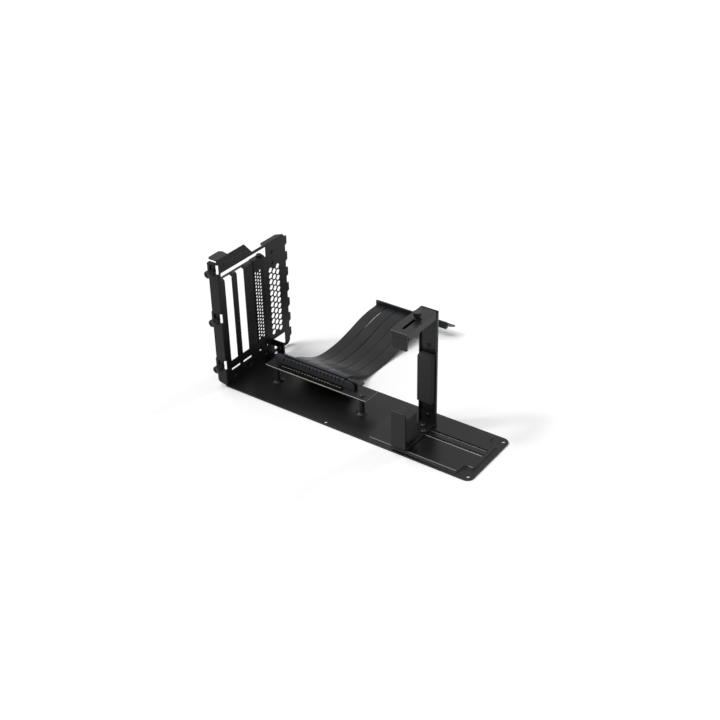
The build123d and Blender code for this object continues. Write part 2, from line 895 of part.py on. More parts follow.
# Slot on the riser board: body with its mouth, key, ribbed flanks and latch cheeks
slot_body_end = slot_body_start + slot_body_length
slot_body_top = board_top + slot_body_height
slot_front = slot_body_middle - slot_body_width / 2
cheek_top = slot_body_top - cheek_drop
with BuildPart() as riser_slot:
    with BuildSketch(Plane.XY.offset(board_top)) as slot_foot:
        with Locations(((slot_body_start + slot_body_end) / 2, slot_body_middle)):
            Rectangle(slot_body_length, slot_body_width)
    extrude(amount=slot_body_height)
    # Lower end block with a rounded end
    with BuildSketch(Plane.XY.offset(board_top)) as end_block:
        with Locations((slot_body_start - slot_block_length / 2, slot_body_middle)):
            Rectangle(slot_block_length, slot_body_width)
        fillet(end_block.vertices().group_by(Axis.X)[0], slot_block_corner)
    extrude(amount=slot_body_height - slot_block_drop)
    # Mouth, left standing at the key
    with BuildSketch(Plane.XY.offset(slot_body_top)) as mouth:
        mouth_start = slot_body_start + mouth_margin
        key_at = mouth_start + key_start
        mouth_end = slot_body_end + latch_throat
        with Locations(((mouth_start + key_at) / 2, slot_body_middle)):
            Rectangle(key_at - mouth_start, mouth_width)
        with Locations(((key_at + key_length + mouth_end) / 2, slot_body_middle)):
            Rectangle(mouth_end - key_at - key_length, mouth_width)
    extrude(amount=-mouth_depth, mode=Mode.SUBTRACT)
    # Lead-in chamfer along the mouth
    with BuildSketch(Plane.XY.offset(slot_body_top)) as lead_in:
        with Locations(((mouth_start + slot_body_end) / 2, slot_body_middle)):
            Rectangle(slot_body_end - mouth_start, mouth_width + 2 * mouth_lead_in)
    extrude(amount=-mouth_lead_in, taper=mouth_lead_in_angle, mode=Mode.SUBTRACT)
    # Notches along the top of both flanks
    notch_step = (slot_body_length - 2 * mouth_margin) / flank_notch_count
    with BuildSketch(Plane.XY.offset(slot_body_top)) as flank_notches:
        with Locations(((slot_body_start + slot_body_end) / 2, slot_body_middle)):
            with GridLocations(notch_step, slot_body_width, flank_notch_count, 2):
                Rectangle(flank_notch_width, 2 * flank_notch_depth)
    extrude(amount=-flank_notch_height, mode=Mode.SUBTRACT)
    # Step along the foot of the front flank, over the contact tails
    with BuildSketch(Plane.XY.offset(board_top)) as tail_step:
        with Locations(((slot_body_start + slot_body_end) / 2, slot_body_middle)):
            with GridLocations(0, slot_body_width, 1, 2):
                Rectangle(slot_body_length - mouth_margin, 2 * tail_step_depth)
    extrude(amount=tail_step_height, mode=Mode.SUBTRACT)
    # Cheeks that carry the latch
    with BuildSketch(Plane.XY.offset(board_top)) as cheeks:
        with Locations((slot_body_end + cheek_length / 2, slot_body_middle)):
            with GridLocations(0, slot_body_width - cheek_thickness, 1, 2):
                Rectangle(cheek_length, cheek_thickness)
    extrude(amount=cheek_top - board_top)
    with BuildSketch(sheet_plane_y(slot_front)) as pin_hole:
        with Locations((latch_pin_x, latch_pin_z)):
            Circle(latch_pin_radius + shank_gap)
    extrude(amount=-slot_body_width, mode=Mode.SUBTRACT)
    chamfer(
        riser_slot.edges().filter_by(Axis.Y).group_by(Axis.X)[-1].sort_by(Axis.Z)[-2:],
        cheek_chamfer,
    )
save(riser_slot.part, "riser_slot")

# Gold tails of the slot's contacts, standing on the board along both flanks
with BuildPart() as slot_contacts:
    tail_pitch = (slot_body_length - 2 * mouth_margin - tail_width) / (tail_count - 1)
    tail_offset = slot_body_width - 2 * tail_step_depth + tail_length
    with BuildSketch(Plane.XY.offset(board_top)) as tails:
        with Locations(((slot_body_start + slot_body_end) / 2, slot_body_middle)):
            with GridLocations(tail_pitch, tail_offset, tail_count, 2):
                Rectangle(tail_width, tail_length)
    extrude(amount=tail_height)
save(slot_contacts.part, "slot_contacts")

# Latch: a hub between the cheeks on its pins, a hook over the mouth's end and a lever
latch_inner = slot_body_width - 2 * cheek_thickness - 2 * side_gap
lever_end = latch_pin_x + latch_pin_inset + latch_lever_length
lever_root = latch_pin_x + latch_hub_radius - latch_throat
lever_neck = slot_body_end + cheek_length + 2 * side_gap
latch_top = slot_body_top + latch_hook_rise
with BuildPart() as slot_latch:
    with BuildSketch(sheet_plane_y(slot_body_middle - latch_inner / 2)) as latch_profile:
        with Locations((latch_pin_x, latch_pin_z)):
            Circle(latch_hub_radius)
        with BuildLine():
            Polyline(
                (latch_pin_x - latch_hub_radius, latch_pin_z),
                (latch_pin_x - latch_hub_radius, latch_top),
                (latch_pin_x + latch_hub_radius, latch_top),
                (latch_pin_x + latch_hub_radius, latch_pin_z),
                close=True,
            )
        make_face()
    extrude(amount=-latch_inner)
    with BuildSketch(Plane.XY.offset(latch_top - latch_lever_sheet)) as lever:
        with BuildLine():
            Polyline(
                (lever_root, slot_body_middle - latch_inner / 2),
                (lever_neck, slot_body_middle - latch_inner / 2),
                (lever_end - latch_lever_flare, slot_body_middle - slot_body_width / 2),
                (lever_end, slot_body_middle - slot_body_width / 2),
                (lever_end, slot_body_middle + slot_body_width / 2),
                (lever_end - latch_lever_flare, slot_body_middle + slot_body_width / 2),
                (lever_neck, slot_body_middle + latch_inner / 2),
                (lever_root, slot_body_middle + latch_inner / 2),
                close=True,
            )
        make_face()
    extrude(amount=latch_lever_sheet)
    with BuildSketch(sheet_plane_y(slot_front)) as latch_pins:
        with Locations((latch_pin_x, latch_pin_z)):
            Circle(latch_pin_radius)
    extrude(amount=-slot_body_width)
save(slot_latch.part, "slot_latch")


# Flat cable: strips side by side along one route
def route_radii(points):
    """The radius of each corner: 0.45 of the shorter run over the tangent of half the turn."""
    radii = []
    for before, here, after in zip(points, points[1:], points[2:]):
        run_in = Vector(*here) - Vector(*before)
        run_out = Vector(*after) - Vector(*here)
        turn = run_in.get_angle(run_out)
        radii.append(0.45 * min(run_in.length, run_out.length) / tan(radians(turn / 2)))
    return radii


cable_radii = route_radii(cable_route)
print("cable radii", [round(r, 1) for r in cable_radii])
cable_left = strip_start
for i in range(strip_count):
    strip_x = cable_left + strip_pitch * i + (strip_pitch - strip_width) / 2
    with BuildPart() as ribbon_strip:
        with BuildSketch(sheet_plane_x(strip_x)) as strip_profile:
            with BuildLine() as strip_line:
                FilletPolyline(*cable_route, radius=cable_radii)
            trace(line_width=strip_thickness)
        extrude(amount=strip_width)
    save(ribbon_strip.part, f"ribbon_strip_{i + 1}")
    if i == 0:
        strip_length = sum(edge.length for edge in strip_line.edges())
        print("cable length", round(strip_length, 1))

# Plug: a shell round the cable's end and the board with the card edge
plug_front = cable_route[-1][0] - plug_entry
plug_back = plug_front + plug_depth
plug_end = plug_start + plug_length
plug_top = plug_bottom + plug_height
cable_end_z = cable_route[-1][1]
finger_middle_z = cable_end_z - finger_drop
finger_top = finger_middle_z + board_sheet / 2
finger_bottom = finger_middle_z - board_sheet / 2
finger_root = cable_route[-1][0] + 2 * pad_gap
finger_tip = plug_back + finger_reach
with BuildPart() as plug_housing:
    with BuildSketch(sheet_plane_x(plug_start)) as plug_section:
        with BuildLine():
            Polyline(
                (plug_front, plug_bottom),
                (plug_back, plug_bottom),
                (plug_back, plug_top - plug_wall),
                (plug_back - plug_wall, plug_top),
                (plug_front, plug_top),
                close=True,
            )
        make_face()
    extrude(amount=plug_length)
    # Room for the cable's end and for the plug's board
    with BuildSketch(sheet_plane_x(cable_left)) as cable_room:
        with Locations((plug_front, cable_end_z)):
            Rectangle(2 * (plug_entry + pad_gap), strip_thickness + 2 * pad_gap)
    extrude(amount=strip_pitch * strip_count, mode=Mode.SUBTRACT)
    with BuildSketch(sheet_plane_x(plug_start + finger_start_inset)) as board_room:
        with Locations(((finger_root + plug_back) / 2, finger_middle_z)):
            Rectangle(plug_back - finger_root, board_sheet)
    extrude(amount=plug_length - 2 * finger_start_inset, mode=Mode.SUBTRACT)
save(plug_housing.part, "plug_housing")

finger_start = plug_start + finger_start_inset
finger_end = finger_start + finger_length
with BuildPart() as plug_board:
    with BuildSketch(Plane.XY.offset(finger_bottom)) as plug_board_outline:
        with BuildLine():
            Polyline(
                (finger_start, finger_root),
                (plug_end - finger_start_inset, finger_root),
                (plug_end - finger_start_inset, plug_back),
                (plug_end + hook_reach, finger_tip - hook_gap),
                (plug_end + hook_reach, finger_tip),
                (finger_end + hook_gap, finger_tip),
                (finger_end + hook_gap, plug_back + finger_root_length),
                (finger_end, plug_back + finger_root_length),
                (finger_end, finger_tip - finger_tip_chamfer),
                (finger_end - finger_tip_chamfer, finger_tip),
                (finger_start + finger_tip_chamfer, finger_tip),
                (finger_start, finger_tip - finger_tip_chamfer),
                close=True,
            )
        make_face()
        # Key of the card edge
        with Locations((finger_start + key_start + key_length / 2, finger_tip)):
            Rectangle(key_length, 2 * (finger_reach - finger_root_length), mode=Mode.SUBTRACT)
    extrude(amount=board_sheet)
save(plug_board.part, "plug_board")

# Gold fingers of the plug, a thin skin on both sides of its board
with BuildPart() as plug_contacts:
    key_from = finger_start + key_start
    key_to = key_from + key_length
    finger_contact_length = finger_reach - 2 * finger_tip_chamfer
    finger_middle_y = finger_tip - finger_reach / 2
    finger_places = []
    finger_x = finger_start + finger_end_margin
    while finger_x < finger_end - finger_end_margin + finger_skin:
        if finger_x + finger_width / 2 < key_from or finger_x - finger_width / 2 > key_to:
            finger_places.append((finger_x, finger_middle_y))
        finger_x += finger_pitch
    with BuildSketch(Plane.XY.offset(finger_top)) as upper_fingers:
        with Locations(*finger_places):
            Rectangle(finger_width, finger_contact_length)
    extrude(amount=finger_skin)
    with BuildSketch(Plane.XY.offset(finger_bottom)) as lower_fingers:
        with Locations(*finger_places):
            Rectangle(finger_width, finger_contact_length)
    extrude(amount=-finger_skin)
save(plug_contacts.part, "plug_contacts")

# Card support: foot, a bent strip with a front wall, a floor and a tab in the post
support_right = support_left + support_width
post_back = post_front + post_depth
post_wall_face = post_back - sheet
foot_left = support_left + sheet + foot_side_inset
foot_width = support_width - 2 * sheet - 2 * foot_side_inset
foot_bottom = plateau_top + slide_gap
foot_top = foot_bottom + foot_sheet
foot_wall_top = foot_bottom + foot_wall_height
foot_screw_places = [
    (foot_screw_x, guide_middle_y - guide_pitch / 2),
    (foot_screw_x - foot_screw_step, guide_middle_y + guide_pitch / 2),
]
post_rivet_place = (support_left + support_width / 2, foot_top + post_rivet_lift)
with BuildPart() as support_foot:
    with BuildSketch(sheet_plane_x(foot_left)) as foot_profile:
        with BuildLine():
            FilletPolyline(
                (foot_front, foot_wall_top),
                (foot_front, foot_bottom),
                (post_wall_face, foot_bottom),
                (post_wall_face, foot_top + foot_tab_height),
                radius=bend_radius + foot_sheet,
            )
            offset(amount=foot_sheet, side=Side.LEFT)
        make_face()
    extrude(amount=foot_width)
    with BuildSketch(Plane.XY.offset(foot_bottom)) as foot_holes:
        with Locations(*foot_screw_places):
            Circle(m3_radius + shank_gap)
    extrude(amount=foot_sheet, mode=Mode.SUBTRACT)
    with BuildSketch(sheet_plane_y(post_wall_face)) as foot_tab_hole:
        with Locations(post_rivet_place):
            Circle(rivet_radius + shank_gap)
    extrude(amount=foot_sheet, mode=Mode.SUBTRACT)
    # Cut clear of the bends inside the post
    with BuildSketch(Plane.XY.offset(foot_bottom)) as foot_corner_cuts:
        with Locations((foot_left + foot_width / 2, post_wall_face)):
            with GridLocations(foot_width, 0, 2, 1):
                Rectangle(2 * (foot_corner_cut - foot_side_inset), 2 * foot_sheet)
    extrude(amount=foot_wall_height, mode=Mode.SUBTRACT)
    fillet(
        support_foot.edges()
        .filter_by(Axis.Y)
        .filter_by_position(Axis.Z, foot_wall_top - 0.01, foot_wall_top + 0.01),
        bend_radius,
    )
save(support_foot.part, "support_foot")

# Nut plate under the plateau, and the screws that clamp the foot to it
nut_plate_top = plateau_height - side_gap
nut_plate_bottom = nut_plate_top - nut_plate_sheet
nut_middle_x = foot_screw_x - foot_screw_step / 2
with BuildPart() as nut_plate:
    with BuildSketch(Plane.XY.offset(nut_plate_bottom)) as nut_outline:
        with Locations((nut_middle_x, guide_middle_y)):
            RectangleRounded(nut_plate_length, nut_plate_width, nut_plate_corner)
        with Locations(*foot_screw_places):
            Circle(m3_radius + shank_gap, mode=Mode.SUBTRACT)
    extrude(amount=nut_plate_sheet)
save(nut_plate.part, "nut_plate")

with BuildPart() as foot_screws:
    for x, y in foot_screw_places:
        with Locations((x, y, foot_top)):
            add(
                pan_screw(
                    foot_screw_head_radius,
                    foot_screw_head_height,
                    m3_radius,
                    foot_top - nut_plate_bottom,
                    m3_cross,
                )
            )
save(foot_screws.part, "foot_screws")

# Post: a channel open to the front that stands over the foot's floor
with BuildPart() as support_post:
    with BuildSketch(Plane.XY.offset(foot_bottom)) as post_section:
        with BuildLine():
            FilletPolyline(
                (support_left, post_front),
                (support_left, post_back),
                (support_right, post_back),
                (support_right, post_front),
                radius=bend_radius,
            )
            offset(amount=sheet, side=Side.RIGHT)
        make_face()
    extrude(amount=post_top - foot_bottom)
    with BuildSketch(sheet_plane_y(post_back)) as post_holes:
        with Locations(post_rivet_place, (support_left + support_width / 2, arm_rivet_z)):
            Circle(rivet_radius + shank_gap)
    extrude(amount=sheet, mode=Mode.SUBTRACT)
save(support_post.part, "support_post")


def rivet_y(face_y, grip, place):
    """A rivet along Y with its head on the face at face_y and its tail behind the grip."""
    with BuildPart() as rivet:
        with BuildSketch(sheet_plane_y(face_y)) as rivet_head:
            with Locations(place):
                Circle(rivet_head_radius)
        extrude(amount=rivet_head_height, taper=rivet_head_taper)
        with BuildSketch(sheet_plane_y(face_y)) as rivet_shank:
            with Locations(place):
                Circle(rivet_radius)
        extrude(amount=-grip)
        with BuildSketch(sheet_plane_y(face_y + grip)) as rivet_tail:
            with Locations(place):
                Circle(rivet_head_radius)
        extrude(amount=-rivet_head_height)
    return rivet.part


post_rivet = rivet_y(post_wall_face - foot_sheet, foot_sheet + sheet, post_rivet_place)
save(post_rivet, "post_rivet")

# Arm: an upside-down channel with a nose, a slot and a leg down inside the post
arm_left = support_left + arm_overhang
arm_width = support_width - 2 * arm_overhang
arm_right = arm_left + arm_width
arm_under = arm_top - sheet
arm_slot_middle = arm_slot_front + arm_slot_length / 2
arm_middle_x = support_left + support_width / 2
arm_flange_back = post_front - side_gap
with BuildPart() as support_arm:
    with BuildSketch(sheet_plane_x(arm_left)) as arm_profile:
        with BuildLine():
            FilletPolyline(
                (arm_front, arm_top - arm_nose_height),
                (arm_front, arm_top),
                (post_wall_face, arm_top),
                (post_wall_face, arm_leg_bottom),
                radius=bend_radius,
            )
            offset(amount=sheet, side=Side.RIGHT)
        make_face()
    extrude(amount=arm_width)
    # Side flanges, cut back at the nose
    for x in (arm_left, arm_right - sheet):
        with BuildSketch(sheet_plane_x(x)) as arm_flange:
            with BuildLine():
                Polyline(
                    (arm_front + sheet, arm_top - sheet / 2),
                    (arm_front + sheet, arm_top - bend_radius),
                    (arm_front + arm_nose_cut, arm_top - arm_flange_height),
                    (arm_flange_back, arm_top - arm_flange_height),
                    (arm_flange_back, arm_top - sheet / 2),
                    close=True,
                )
            make_face()
        extrude(amount=sheet)
    # Slot for the jaw's thumbscrew
    with BuildSketch(Plane.XY.offset(arm_under)) as arm_slot:
        with Locations((arm_middle_x, arm_slot_middle)):
            SlotOverall(arm_slot_length, arm_slot_width, rotation=90)
    extrude(amount=sheet, mode=Mode.SUBTRACT)
    # Shoulders, where the arm narrows to pass between the post's flanges
    with BuildSketch(Plane.XY.offset(arm_leg_bottom)) as arm_shoulders:
        with Locations((arm_middle_x, (arm_flange_back + post_back) / 2)):
            with GridLocations(arm_width, 0, 2, 1):
                Rectangle(
                    2 * (sheet + arm_leg_inset - arm_overhang),
                    post_back - arm_flange_back,
                )
    extrude(amount=arm_top - arm_leg_bottom, mode=Mode.SUBTRACT)
    with BuildSketch(sheet_plane_y(post_wall_face)) as arm_leg_hole:
        with Locations((arm_middle_x, arm_rivet_z)):
            Circle(rivet_radius + shank_gap)
    extrude(amount=sheet, mode=Mode.SUBTRACT)
    fillet(
        support_arm.edges()
        .filter_by(Axis.Y)
        .filter_by_position(Axis.Z, arm_leg_bottom - 0.01, arm_leg_bottom + 0.01),
        arm_leg_radius,
    )
save(support_arm.part, "support_arm")

arm_rivet = rivet_y(post_wall_face - sheet, 2 * sheet, (arm_middle_x, arm_rivet_z))
save(arm_rivet, "arm_rivet")

# Pads: the foot's block takes the card's lower edge, the post's block its back
foot_pad_front = foot_front + foot_sheet
foot_pad_bottom = foot_top + foot_pad_lift
foot_pad_left = foot_left + foot_width - foot_pad_right_inset - foot_pad_width
with BuildPart() as foot_pad:
    with BuildSketch(sheet_plane_x(foot_pad_left)) as foot_pad_side:
        with BuildLine():
            Polyline(
                (foot_pad_front, foot_pad_bottom + foot_pad_lift),
                (foot_pad_front + foot_pad_lift, foot_pad_bottom),
                (foot_pad_front + foot_pad_depth, foot_pad_bottom),
                (foot_pad_front + foot_pad_depth, foot_pad_bottom + foot_pad_height),
                (foot_pad_front, foot_pad_bottom + foot_pad_height),
                close=True,
            )
        make_face()
    extrude(amount=foot_pad_width)
    chamfer(foot_pad.faces().sort_by(Axis.Y)[-1].edges(), pad_chamfer / 2)
save(foot_pad.part, "foot_pad")

post_pad_width = support_width - 2 * sheet - 2 * pad_gap
with BuildPart() as post_pad:
    with BuildSketch(sheet_plane_y(post_wall_face)) as post_pad_front:
        with Locations((arm_middle_x, post_pad_bottom + post_pad_height / 2)):
            Rectangle(post_pad_width, post_pad_height)
        chamfer(post_pad_front.vertices(), pad_chamfer)
    extrude(amount=post_depth - sheet + post_pad_stand)
    chamfer(
        post_pad.edges().filter_by(Axis.Z).group_by(Axis.Y)[-1],
        bend_radius - sheet,
    )
save(post_pad.part, "post_pad")

# Jaw: a plate that slides under the arm, with a lip that holds the card's front
jaw_left = arm_left + jaw_lip_inset
jaw_width = arm_width - 2 * jaw_lip_inset
jaw_plate_inset = sheet + side_gap - jaw_lip_inset
jaw_top = arm_top - arm_nose_height - side_gap
jaw_under = jaw_top - sheet
jaw_back = jaw_front + jaw_plate_length
with BuildPart() as jaw:
    with BuildSketch(sheet_plane_x(jaw_left)) as jaw_profile:
        with BuildLine():
            FilletPolyline(
                (jaw_front, jaw_lip_bottom),
                (jaw_front, jaw_top),
                (jaw_back, jaw_top),
                radius=bend_radius,
            )
            offset(amount=sheet, side=Side.RIGHT)
        make_face()
    extrude(amount=jaw_width)
    with BuildSketch(Plane.XY.offset(jaw_under)) as jaw_hole:
        with Locations((arm_middle_x, jaw_screw_y)):
            Circle(jaw_spigot_radius)
    extrude(amount=sheet, mode=Mode.SUBTRACT)
    # Behind the lip the plate narrows to pass between the arm's flanges
    with BuildSketch(Plane.XY.offset(jaw_under - bend_radius)) as jaw_shoulders:
        with Locations((arm_middle_x, (jaw_front + sheet + pad_gap + jaw_back) / 2)):
            with GridLocations(jaw_width, 0, 2, 1):
                Rectangle(2 * jaw_plate_inset, jaw_back - jaw_front - sheet - pad_gap)
    extrude(amount=jaw_top - jaw_under + bend_radius, mode=Mode.SUBTRACT)
    fillet(
        jaw.edges()
        .filter_by(Axis.Y)
        .filter_by_position(Axis.Z, jaw_lip_bottom - 0.01, jaw_lip_bottom + 0.01),
        bend_radius,
    )
save(jaw.part, "jaw")

# Nut pressed into the jaw, reaching up to the underside of the arm
jaw_nut_top = arm_under - slide_gap
with BuildPart() as jaw_nut:
    with BuildSketch(Plane.XY.offset(jaw_top)) as jaw_nut_body:
        with Locations((arm_middle_x, jaw_screw_y)):
            Circle(jaw_nut_radius)
    extrude(amount=jaw_nut_top - jaw_top)
    with BuildSketch(Plane.XY.offset(jaw_under)) as jaw_nut_spigot:
        with Locations((arm_middle_x, jaw_screw_y)):
            Circle(jaw_spigot_radius)
    extrude(amount=sheet)
    with BuildSketch(Plane.XY.offset(jaw_under)) as jaw_nut_bore:
        with Locations((arm_middle_x, jaw_screw_y)):
            Circle(m3_radius + shank_gap)
    extrude(amount=jaw_nut_top - jaw_under, mode=Mode.SUBTRACT)
save(jaw_nut.part, "jaw_nut")

jaw_pad_top = jaw_under - pad_gap
jaw_pad_left = jaw_left + jaw_plate_inset
jaw_pad_width = jaw_width - 2 * jaw_plate_inset
jaw_lip_back = jaw_front + sheet
with BuildPart() as jaw_pad:
    with BuildSketch(sheet_plane_x(jaw_pad_left)) as jaw_pad_side:
        with BuildLine():
            Polyline(
                (jaw_lip_back, jaw_pad_top - bend_radius + sheet),
                (jaw_lip_back + bend_radius - sheet, jaw_pad_top),
                (jaw_lip_back + jaw_pad_top_depth, jaw_pad_top),
                (jaw_lip_back + jaw_pad_foot_depth, jaw_pad_top - jaw_pad_height),
                (jaw_lip_back, jaw_pad_top - jaw_pad_height),
                close=True,
            )
        make_face()
    extrude(amount=jaw_pad_width)
save(jaw_pad.part, "jaw_pad")

# Thumbscrew of the jaw and its washer on the arm
with BuildPart() as jaw_washer:
    with BuildSketch(Plane.XY.offset(arm_top + slide_gap)) as washer_ring:
        with Locations((arm_middle_x, jaw_screw_y)):
            Circle(jaw_washer_radius)
            Circle(m3_radius + shank_gap, mode=Mode.SUBTRACT)
    extrude(amount=jaw_washer_height)
save(jaw_washer.part, "jaw_washer")

jaw_screw_seat = arm_top + slide_gap + jaw_washer_height + slide_gap
with BuildPart() as jaw_thumbscrew:
    with BuildSketch(Plane.XY.offset(jaw_screw_seat + jaw_collar_height)) as jaw_head:
        with Locations((arm_middle_x, jaw_screw_y)):
            Circle(thumb_head_radius)
            with PolarLocations(thumb_head_radius, thumb_grooves):
                RegularPolygon(thumb_groove_depth * 2, 4, mode=Mode.SUBTRACT)
    extrude(amount=jaw_head_length)
    with BuildSketch(Plane.XY.offset(jaw_screw_seat)) as jaw_collar:
        with Locations((arm_middle_x, jaw_screw_y)):
            Circle(thumb_collar_radius)
    extrude(amount=jaw_collar_height)
    with BuildSketch(Plane.XY.offset(jaw_under)) as jaw_shank:
        with Locations((arm_middle_x, jaw_screw_y)):
            Circle(m3_radius)
    extrude(amount=jaw_screw_seat - jaw_under)
save(jaw_thumbscrew.part, "jaw_thumbscrew")
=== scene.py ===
import bpy
import bmesh
from math import radians, sin, cos, pi
from mathutils import Matrix, Vector, noise


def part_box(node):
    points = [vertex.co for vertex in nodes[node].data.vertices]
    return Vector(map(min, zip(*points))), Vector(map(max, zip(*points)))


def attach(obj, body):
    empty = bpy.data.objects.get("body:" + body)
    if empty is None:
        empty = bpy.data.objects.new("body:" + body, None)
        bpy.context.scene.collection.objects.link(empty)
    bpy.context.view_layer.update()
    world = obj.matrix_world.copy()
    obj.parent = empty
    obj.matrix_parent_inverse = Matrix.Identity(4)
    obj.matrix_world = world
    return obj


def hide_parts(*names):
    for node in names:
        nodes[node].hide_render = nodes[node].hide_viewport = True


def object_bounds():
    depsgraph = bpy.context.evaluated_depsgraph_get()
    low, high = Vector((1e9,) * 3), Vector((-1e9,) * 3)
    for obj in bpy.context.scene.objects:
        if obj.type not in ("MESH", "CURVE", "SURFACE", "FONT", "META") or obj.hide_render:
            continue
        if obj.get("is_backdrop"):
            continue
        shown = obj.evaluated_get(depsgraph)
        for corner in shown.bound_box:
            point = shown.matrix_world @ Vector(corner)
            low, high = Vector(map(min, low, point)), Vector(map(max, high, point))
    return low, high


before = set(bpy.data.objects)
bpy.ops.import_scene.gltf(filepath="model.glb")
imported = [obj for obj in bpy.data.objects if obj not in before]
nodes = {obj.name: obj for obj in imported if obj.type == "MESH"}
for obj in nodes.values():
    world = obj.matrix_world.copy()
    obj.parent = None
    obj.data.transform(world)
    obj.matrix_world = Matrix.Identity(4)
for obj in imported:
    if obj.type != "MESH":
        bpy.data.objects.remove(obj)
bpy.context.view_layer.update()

scene = bpy.context.scene
scene.view_settings.view_transform = "Standard"

# Sizes and places are in metres, in the frame of the CAD model, except where said.


# Camera: the photograph's view, found from the standard sizes on the object
CAMERA_PLACE = (0.810192, -0.906058, 0.762968)
CAMERA_ANGLES = (35.797, 31.892, -1.209)  # azimuth, elevation and roll in degrees
CAMERA_SENSOR, CAMERA_LENS = 36.0, 60.976  # in millimetres, as Blender takes them


def set_camera():
    azimuth, elevation, roll = map(radians, CAMERA_ANGLES)
    forward = Vector((
        -sin(azimuth) * cos(elevation), cos(azimuth) * cos(elevation), -sin(elevation),
    ))
    right = Vector((cos(azimuth), sin(azimuth), 0))
    up = right.cross(forward)
    right_rolled = cos(roll) * right + sin(roll) * up
    up_rolled = -sin(roll) * right + cos(roll) * up
    data = bpy.data.cameras.new("camera")
    data.sensor_width = CAMERA_SENSOR
    data.lens = CAMERA_LENS
    data.clip_start, data.clip_end = 0.05, 50.0
    camera = bpy.data.objects.new("camera", data)
    scene.collection.objects.link(camera)
    turn = Matrix((right_rolled, up_rolled, -forward)).transposed().to_4x4()
    camera.matrix_world = Matrix.Translation(CAMERA_PLACE) @ turn
    scene.camera = camera


set_camera()


# Materials
BLACK = (0.001, 0.001, 0.001)
NOISE_LOW, NOISE_HIGH = 0.3, 0.7  # most values of a noise texture lie between these


def scaled(colour, factor, more=0.0):
    return tuple(min(1.0, c * factor + more) for c in colour)


class Graph:
    """The node tree of one material, with short names for what the materials share."""

    def __init__(self, name):
        self.material = bpy.data.materials.new(name)
        self.material.use_nodes = True
        self.tree = self.material.node_tree
        self.shader = self.tree.nodes["Principled BSDF"]
        self.at = self.add("TexCoord").outputs["Object"]

    def add(self, kind):
        return self.tree.nodes.new("ShaderNode" + kind)

    def link(self, source, target):
        self.tree.links.new(source, target)

    def set(self, **values):
        for key, value in values.items():
            self.shader.inputs[key.replace("_", " ")].default_value = value

    def colour(self, value):
        self.link(value, self.shader.inputs["Base Color"])

    def rough(self, value):
        self.link(value, self.shader.inputs["Roughness"])

    def split(self, vector):
        node = self.add("SeparateXYZ")
        self.link(vector, node.inputs[0])
        return node.outputs["X"], node.outputs["Y"], node.outputs["Z"]

    def noise(self, scale, detail):
        node = self.add("TexNoise")
        node.inputs["Scale"].default_value = scale
        node.inputs["Detail"].default_value = detail
        node.inputs["Roughness"].default_value = 0.55
        self.link(self.at, node.inputs["Vector"])
        return node.outputs["Fac"]

    def math(self, operation, a, b=None):
        node = self.add("Math")
        node.operation = operation
        for socket, value in zip(node.inputs, (a, b)):
            if isinstance(value, (int, float)):
                socket.default_value = value
            elif value is not None:
                self.link(value, socket)
        return node.outputs[0]

    def plus(self, a, b):
        return self.math("ADD", a, b)

    def minus(self, a, b):
        return self.math("SUBTRACT", a, b)

    def times(self, first, *others):
        for other in others:
            first = self.math("MULTIPLY", first, other)
        return first

    def remap(self, value, low, high, to_low, to_high):
        node = self.add("MapRange")
        for key, number in (
            ("From Min", low), ("From Max", high), ("To Min", to_low), ("To Max", to_high),
        ):
            node.inputs[key].default_value = number
        self.link(value, node.inputs["Value"])
        return node.outputs["Result"]

    def spread(self, value, to_low, to_high):
        """Spreads the values of a noise over the given range."""
        return self.remap(value, NOISE_LOW, NOISE_HIGH, to_low, to_high)

    def rise(self, value, low, high):
        """0 up to low, 1 from high on."""
        return self.remap(value, low, high, 0.0, 1.0)

    def fall(self, value, low, high):
        """1 up to low, 0 from high on."""
        return self.remap(value, low, high, 1.0, 0.0)

    def between(self, value, low, high, soft):
        """1 where the value lies between low and high, falling to 0 over soft outside them."""
        return self.times(self.rise(value, low - soft, low), self.fall(value, high, high + soft))

    def mix(self, factor, a, b):
        node = self.add("Mix")
        node.data_type = "RGBA"
        sockets = [s for s in node.inputs if s.type == "RGBA"]
        for socket, value in zip(sockets, (a, b)):
            if isinstance(value, tuple):
                socket.default_value = (*value, 1.0)
            else:
                self.link(value, socket)
        self.link(factor, node.inputs[0])
        return [s for s in node.outputs if s.type == "RGBA"][0]

    def edge(self, radius):
        """How far the rounded normal turns from the real one, and the rounded normal.

        The first is 0 on flats and goes towards 1 at edges."""
        bevel = self.add("Bevel")
        bevel.samples = 6
        bevel.inputs["Radius"].default_value = radius
        geometry = self.add("NewGeometry")
        dot = self.add("VectorMath")
        dot.operation = "DOT_PRODUCT"
        self.link(bevel.outputs["Normal"], dot.inputs[0])
        self.link(geometry.outputs["Normal"], dot.inputs[1])
        return self.minus(1.0, dot.outputs["Value"]), bevel.outputs["Normal"]

    def blend(self, mask, colour, rough=None):
        """Lets the plain colour, and the plain roughness if given, through where the mask is 1."""
        under = self.shader.inputs["Base Color"].links[0].from_socket
        self.colour(self.mix(mask, under, colour))
        if rough is not None:
            under = self.shader.inputs["Roughness"].links[0].from_socket
            kept = self.times(under, self.minus(1.0, mask))
            self.rough(self.plus(kept, self.times(mask, rough)))

    # Painted shade: black and fully rough where the mask is 1
    def darken(self, mask):
        self.blend(mask, BLACK, 1.0)

    def bump(self, height, distance, strength, normal=None):
        node = self.add("Bump")
        node.inputs["Distance"].default_value = distance
        node.inputs["Strength"].default_value = strength
        self.link(height, node.inputs["Height"])
        if normal is not None:
            self.link(normal, node.inputs["Normal"])
        self.link(node.outputs["Normal"], self.shader.inputs["Normal"])


